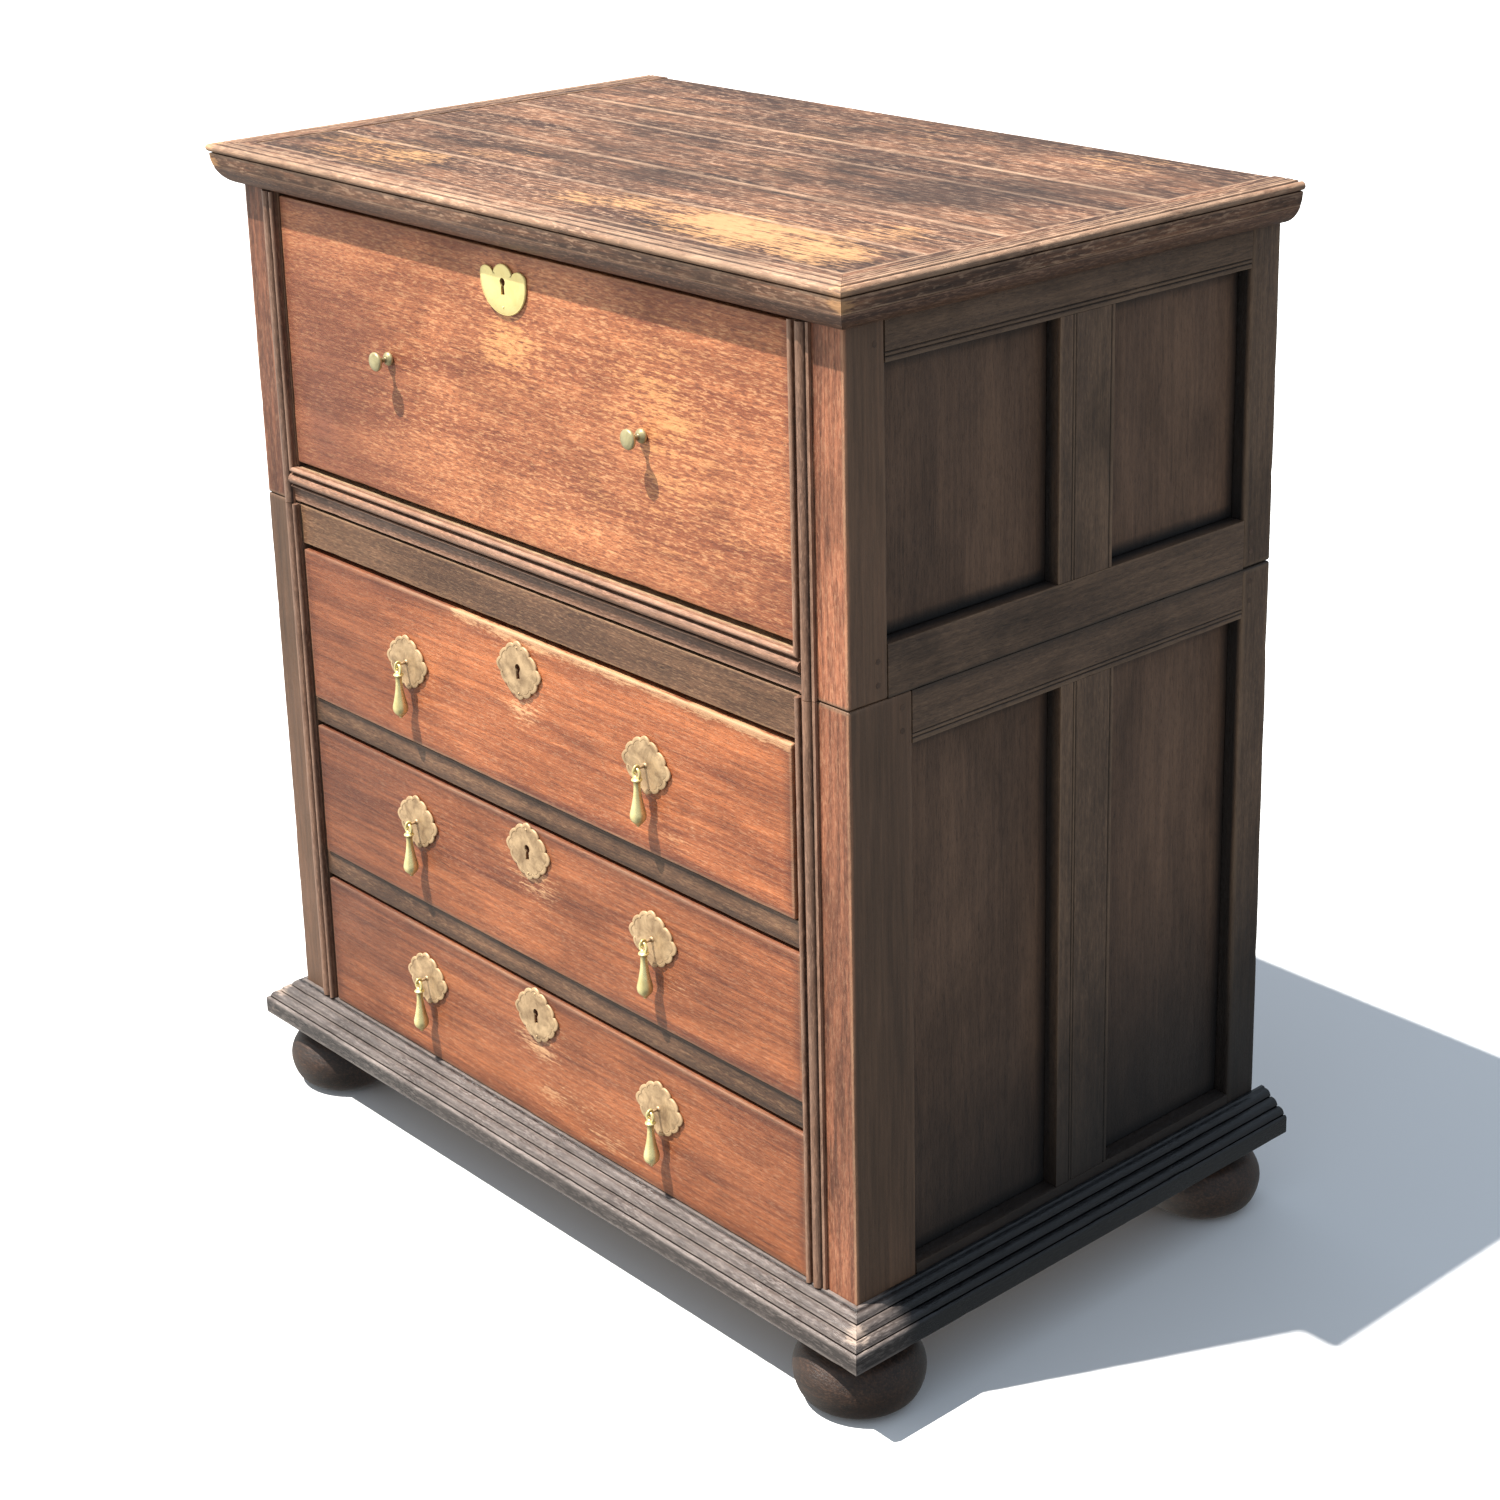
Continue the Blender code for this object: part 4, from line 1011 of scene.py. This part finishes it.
def build_pull(level, word, face):
    """One drop pull: plate, shank and eye on the drawer; loop and drop on their own body."""
    drawer, drop = f"drawer_{level}", f"drop_{level}_{word}"
    tag = f"{level}_{word}"
    low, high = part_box(f"pull_plate_{tag}")
    x, _, z = (low + high) / 2
    outline = lozenge((high.x - low.x) / 2, (high.z - low.z) / 2)
    plate(f"pull_rose_{tag}", outline, x, face, z, "plate", drawer, replaces=(f"pull_plate_{tag}",))
    front = face - PLATE_THICKNESS
    pivot = front - 0.0105
    profile = [(0.0, -0.001), (0.0030, -0.001), (0.0028, 0.0008), (0.0016, 0.0016), (0.0014, 0.0080),
               (0.0, 0.0080)]
    lathe(f"pull_shank_{tag}", profile, outward(x, front, z), "plate", drawer, segments=20, grain=0)
    ring(f"pull_eye_{tag}", Vector((x, pivot, z)), 0.0030, 0.0012, "yz", "drop", drawer)
    loop = 0.0048
    ring(f"drop_loop_{tag}", Vector((x, pivot, z - loop)), loop, 0.0016, "xz", "drop", drop)
    control = [(0.0034, -0.0092), (0.0052, -0.0104), (0.0053, -0.0116), (0.0038, -0.0134),
               (0.0034, -0.0170), (0.0037, -0.0230), (0.0048, -0.0310), (0.0064, -0.0390),
               (0.0078, -0.0450), (0.0080, -0.0485), (0.0070, -0.0520), (0.0046, -0.0550),
               (0.0024, -0.0572), (0.0018, -0.0584)]
    profile = [(0.0, -0.0086)] + smooth_line(control, 5) + [(0.0, -0.0590)]
    lathe(f"drop_pear_{tag}", profile, upward(x, pivot, z), "drop", drop, segments=40, grain=0,
          replaces=(f"drop_pull_{tag}",))


# ---------------------------------------------------------------- drawers and fall

DRAWER_WALL = 0.010
THIN = {"radius": 0.001, "cell": 0.03}
DRAWER_TONE = {"upper": 0.95, "middle": 0.45, "lower": 0.3}


def build_drawer(level):
    body = f"drawer_{level}"
    low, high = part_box(f"drawer_front_{level}")
    face = low.y
    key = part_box(f"drawer_escutcheon_{level}")
    key_middle = (key[0] + key[1]) / 2
    rubbed = 0.55 if level == "upper" else 0.4
    spots = [(Vector((key_middle.x, face, key_middle.z - 0.025)), 0.045, 0.55),
             (Vector((low.x, face, (low.z + high.z) / 2)), 0.20, -0.6)]
    for _, word in SIDES:
        plate_low, plate_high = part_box(f"pull_plate_{level}_{word}")
        spots.append((Vector((plate_high.x, face, plate_low.z - 0.02)), 0.06, 0.22))
    # The fronts have shrunk, so dark gaps show on their left and above them
    low.x += 0.0026
    high.z -= 0.0020
    if level == "upper":
        high.z -= 0.0018
        high.x -= 0.006
        spots += [(Vector((0.012 * k - 0.12, face, high.z)), 0.006, 1.4) for k in range(44)]
    if level == "lower":
        spots += [(Vector((x, face, low.z + 0.02)), 0.05, 0.35) for x in (-0.33, -0.24, 0.02, 0.10)]
    # The darkened rim on the drawer front is painted shade in the gaps round it, with some grime.
    drawer = board(f"drawer_face_{level}", low, high, "drawer", body, 0, radius=0.0018, cell=0.010,
                   wear=rubbed, wave=0.0007, rim=0.5, spots=spots, tone=DRAWER_TONE[level],
                   replaces=(f"drawer_front_{level}",))
    outline = lozenge((key[1].x - key[0].x) / 2, (key[1].z - key[0].z) / 2)
    cover = plate(f"keyhole_plate_{level}", outline, key_middle.x, face, key_middle.z, "plate", body,
                  replaces=(f"drawer_escutcheon_{level}",))
    key_z = key_middle.z + 0.003
    pierce(cover, key_middle.x, face, key_z, 0.002)
    pierce(drawer, key_middle.x, face, key_z, 0.012)
    for rise, tag in ((0.024, "top"), (-0.024, "bottom")):
        nail(f"keyhole_pin_{level}_{tag}", key_middle.x, face - 0.0021, key_middle.z + rise, "plate",
             body, 0.0011)
    for _, word in SIDES:
        build_pull(level, word, face)
    node, wall = f"drawer_box_{level}", DRAWER_WALL
    low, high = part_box(node)
    inner = box_sides(body, node, wall, body, **THIN)
    board(f"{body}_inner_front", (-inner, low.y, low.z), (inner, low.y + wall, high.z), "inside", body,
          **THIN)
    planks(f"{body}_bottom", (-inner, low.y + wall + GAP, low.z + 0.001),
           (inner, high.y - wall - GAP, low.z + wall), body, gap=GAP, radius=0.0012, cell=0.04)


def box_sides(name, node, wall, body, radius, cell):
    """The two sides and the back of a drawer's box. Returns half the width left inside it."""
    low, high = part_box(node)
    for side, word in SIDES:
        corners = mirrored(side, (high.x - wall, low.y, low.z), high)
        board(f"{name}_side_{word}", *corners, "inside", body, 1, radius=radius, cell=cell,
              replaces=(node,) if side < 0 else ())
    inner = high.x - wall - GAP
    board(f"{name}_back", (-inner, high.y - wall, low.z), (inner, high.y, high.z), "inside", body, **THIN)
    return inner


def build_secretary():
    body = "secretary_drawer"
    wall = 0.012
    low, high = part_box("secretary_box")
    inner = box_sides("secretary", "secretary_box", wall, body, radius=0.0012, cell=0.02)
    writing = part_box("pigeonholes")[0].z - GAP
    under = writing - 0.0155
    planks("writing_board", (-inner, low.y, under), (inner, high.y - wall - GAP, writing - GAP), body,
           gap=GAP, radius=0.0012, cell=0.025)
    board("secretary_skirt", (-inner, low.y, low.z), (inner, low.y + wall, under - GAP), "inside", body,
          **THIN)
    build_pigeonholes(body)
    build_fall("fall")


def build_pigeonholes(body):
    low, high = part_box("pigeonholes")
    wall = 0.006
    shelf = low.z + 0.090
    back = high.y - 0.0125
    for height, word in ((low.z, "floor"), (shelf, "shelf"), (high.z - wall, "top")):
        board(f"pigeonhole_{word}", (low.x, low.y, height), (high.x, back, height + wall), "inside", body,
              0, radius=0.0012, cell=0.02, replaces=("pigeonholes",) if word == "top" else ())
    board("pigeonhole_back", (low.x, back + GAP, low.z), high, "inside", body, **THIN)
    for count, bottom, top, row in ((3, low.z + wall, shelf, "lower"),
                                    (5, shelf + wall, high.z - wall, "upper")):
        pitch = (high.x - low.x - wall) / count
        for number in range(count + 1):
            left = low.x + pitch * number
            board(f"pigeonhole_{row}_wall_{number + 1}", (left, low.y, bottom + GAP),
                  (left + wall, back, top - GAP), "inside", body, 2, radius=0.0012, cell=0.02)


def build_fall(body):
    low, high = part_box("fall_front")
    face = low.y
    half = (high.y - low.y) / 2
    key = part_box("fall_escutcheon")
    spots = [(Vector((x, face, z)), reach, amount) for x, z, reach, amount in (
        (0.00, 0.955, 0.05, 0.6), (0.26, 0.85, 0.12, 0.35), (0.20, 0.95, 0.08, 0.35),
        (-0.10, 0.90, 0.08, 0.2), (0.05, 0.80, 0.12, 0.3), (-0.30, 0.79, 0.08, 0.25),
        (-0.36, 0.90, 0.14, -0.6), (-0.30, 0.74, 0.12, -0.6), (0.02, 0.875, 0.05, -0.25),
        (0.16, 0.865, 0.03, -0.3), (-0.34, 0.80, 0.03, -0.3), (0.28, 0.765, 0.04, -0.2))]
    fall = board("fall_board", low, high, "fall", body, 0, radius=0.0016, cell=0.010, wear=0.8,
                 wave=0.0007, rim=0.4, spots=spots, tone=0.6, replaces=("fall_front",))

    def round_pin(u, v, x):
        return (x, face + half + u, low.z + half + v)

    notch, reach, bore = 0.0050, 0.020, 0.0033
    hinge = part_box("fall_hinge_right")
    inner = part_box("secretary_box")[1].x - GAP
    corner = [(half + reach, 0.0)] + bow((0, 0), half, 0, -90, 8)
    corner += [(0.0, -half - reach), (half + reach, -half - reach)]
    cut(fall, corner, round_pin, low.x - reach, high.x + reach)
    square = [(-notch, -reach), (reach, -reach), (reach, notch), (-notch, notch)]
    hole = bow((0, 0), bore, 0, 360, 16)[:-1]
    for side, _ in SIDES:
        cut(fall, square, round_pin, *sorted((side * inner, side * (high.x + reach))))
        cut(fall, hole, round_pin, *sorted((side * (hinge[0].x - GAP), side * (inner + 0.002))))
    key_x = (key[0].x + key[1].x) / 2
    key_z = high.z - 0.0305
    middle = key_z - 0.001
    outline = shield((key[1].x - key[0].x) / 2, middle - key[0].z, key[1].z - middle)
    cover = plate("fall_keyhole_plate", outline, key_x, face, middle, "bright", body, 0.96,
                  ("fall_escutcheon",))
    pierce(cover, key_x, face, key_z, 0.002)
    pierce(fall, key_x, face, key_z, 0.012)
    nail("fall_keyhole_pin", key_x, face - 0.0020, key[0].z + 0.008, "bright", body, 0.0012)
    for _, word in SIDES:
        build_knob(word, face)


def build_knob(word, face):
    low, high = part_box(f"fall_knob_{word}")
    x, _, z = (low + high) / 2
    control = [(0.0062, GAP), (0.0071, 0.0016), (0.0068, 0.0036), (0.0048, 0.0056), (0.0028, 0.0072),
               (0.0025, 0.0100), (0.0040, 0.0126), (0.0072, 0.0146), (0.0094, 0.0162), (0.0099, 0.0180),
               (0.0088, 0.0198), (0.0052, 0.0212)]
    profile = [(0.0, GAP)] + smooth_line(control, 4) + [(0.0, 0.0219)]
    lathe(f"knob_{word}", profile, outward(x, face, z), "knob", "fall", segments=40, grain=0,
          replaces=(f"fall_knob_{word}",))


def finish_ironwork():
    """The hinge arms and stays keep their CAD shapes and take the look of old brass."""
    for word in ("hinge_left", "hinge_right", "stay_left", "stay_right"):
        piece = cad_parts[f"fall_{word}"]
        piece.data.materials.clear()
        piece.data.materials.append(LOOKS["plate"])


# ---------------------------------------------------------------- stage

def build_stage():
    half = 30.0
    mesh = bpy.data.meshes.new("floor")
    mesh.from_pydata([(-half, -half, 0), (half, -half, 0), (half, half, 0), (-half, half, 0)], [],
                     [(0, 1, 2, 3)])
    mesh.materials.append(new_material("pale_paper", Base_Color=(0.86, 0.86, 0.86, 1), Roughness=0.9))
    floor = bpy.data.objects.new("floor", mesh)
    bpy.context.collection.objects.link(floor)
    floor.visible_diffuse = False
    floor.visible_glossy = False


def build_light():
    """A high key light from the front left, a weak cool light all round and a soft fill in front."""
    lamp = bpy.data.lights.new("key", "SUN")
    lamp.energy = 7.7
    lamp.angle = math.radians(0.7)
    lamp.color = (1.0, 0.965, 0.91)
    key = bpy.data.objects.new("key", lamp)
    bpy.context.collection.objects.link(key)
    travels = Vector((0.50, 1.0, -2.5))
    key.rotation_euler = travels.to_track_quat("-Z", "Y").to_euler()

    world = bpy.data.worlds.new("studio")
    world.use_nodes = True
    bpy.context.scene.world = world
    s = Nodes(world.node_tree)
    way = s.node("TexCoord").outputs["Generated"]
    height = s.node("SeparateXYZ", {"Vector": way}).outputs["Z"]
    ramp = s.node("ValToRGB", {"Fac": s.remap(height, -1.0, 1.0)})
    stops = ramp.color_ramp.elements
    stops[0].color = (0.17, 0.18, 0.18, 1)
    stops[1].color = (0.52, 0.62, 0.75, 1)
    stops.new(0.5).color = (0.38, 0.41, 0.43, 1)
    around = s.node("Background", {"Color": ramp.outputs[0], "Strength": 1.0})
    from_front = Vector((-0.66, -0.68, -0.30)).normalized()
    facing = s.node("VectorMath", {0: way, 1: from_front}, operation="DOT_PRODUCT").outputs["Value"]
    fill = s.node("Background", {"Color": (1.0, 0.95, 0.86, 1), "Strength": s.remap(facing, 0.35, 1.0)})
    both = s.node("AddShader", {0: around.outputs[0], 1: fill.outputs[0]})
    s.feed(s.tree.nodes["World Output"].inputs["Surface"], both.outputs[0])


def build_camera():
    camera_data = bpy.data.cameras.new("camera")
    camera_data.lens = CAMERA_LENS
    camera_data.sensor_width = 36.0
    camera_data.shift_x, camera_data.shift_y = CAMERA_SHIFT
    camera_data.clip_end = 100.0
    camera = bpy.data.objects.new("camera", camera_data)
    bpy.context.collection.objects.link(camera)
    flat = math.cos(CAMERA_ELEVATION)
    forward = Vector((-math.sin(CAMERA_AZIMUTH) * flat, math.cos(CAMERA_AZIMUTH) * flat,
                      -math.sin(CAMERA_ELEVATION)))
    right = Vector((math.cos(CAMERA_AZIMUTH), math.sin(CAMERA_AZIMUTH), 0.0))
    up = right.cross(forward)
    across = math.cos(CAMERA_ROLL) * right + math.sin(CAMERA_ROLL) * up
    rising = math.cos(CAMERA_ROLL) * up - math.sin(CAMERA_ROLL) * right
    turn = Matrix((across, rising, -forward)).transposed().to_4x4()
    camera.matrix_world = Matrix.Translation(CAMERA_PLACE) @ turn
    bpy.context.scene.camera = camera
    bpy.context.scene.view_settings.view_transform = "Standard"


build_top()
build_cornice()
build_base()
build_feet()
build_sides()
build_backs()
build_front_mouldings()
build_rails()
for level in LEVELS:
    build_drawer(level)
build_secretary()
finish_ironwork()
build_stage()
build_light()
build_camera()
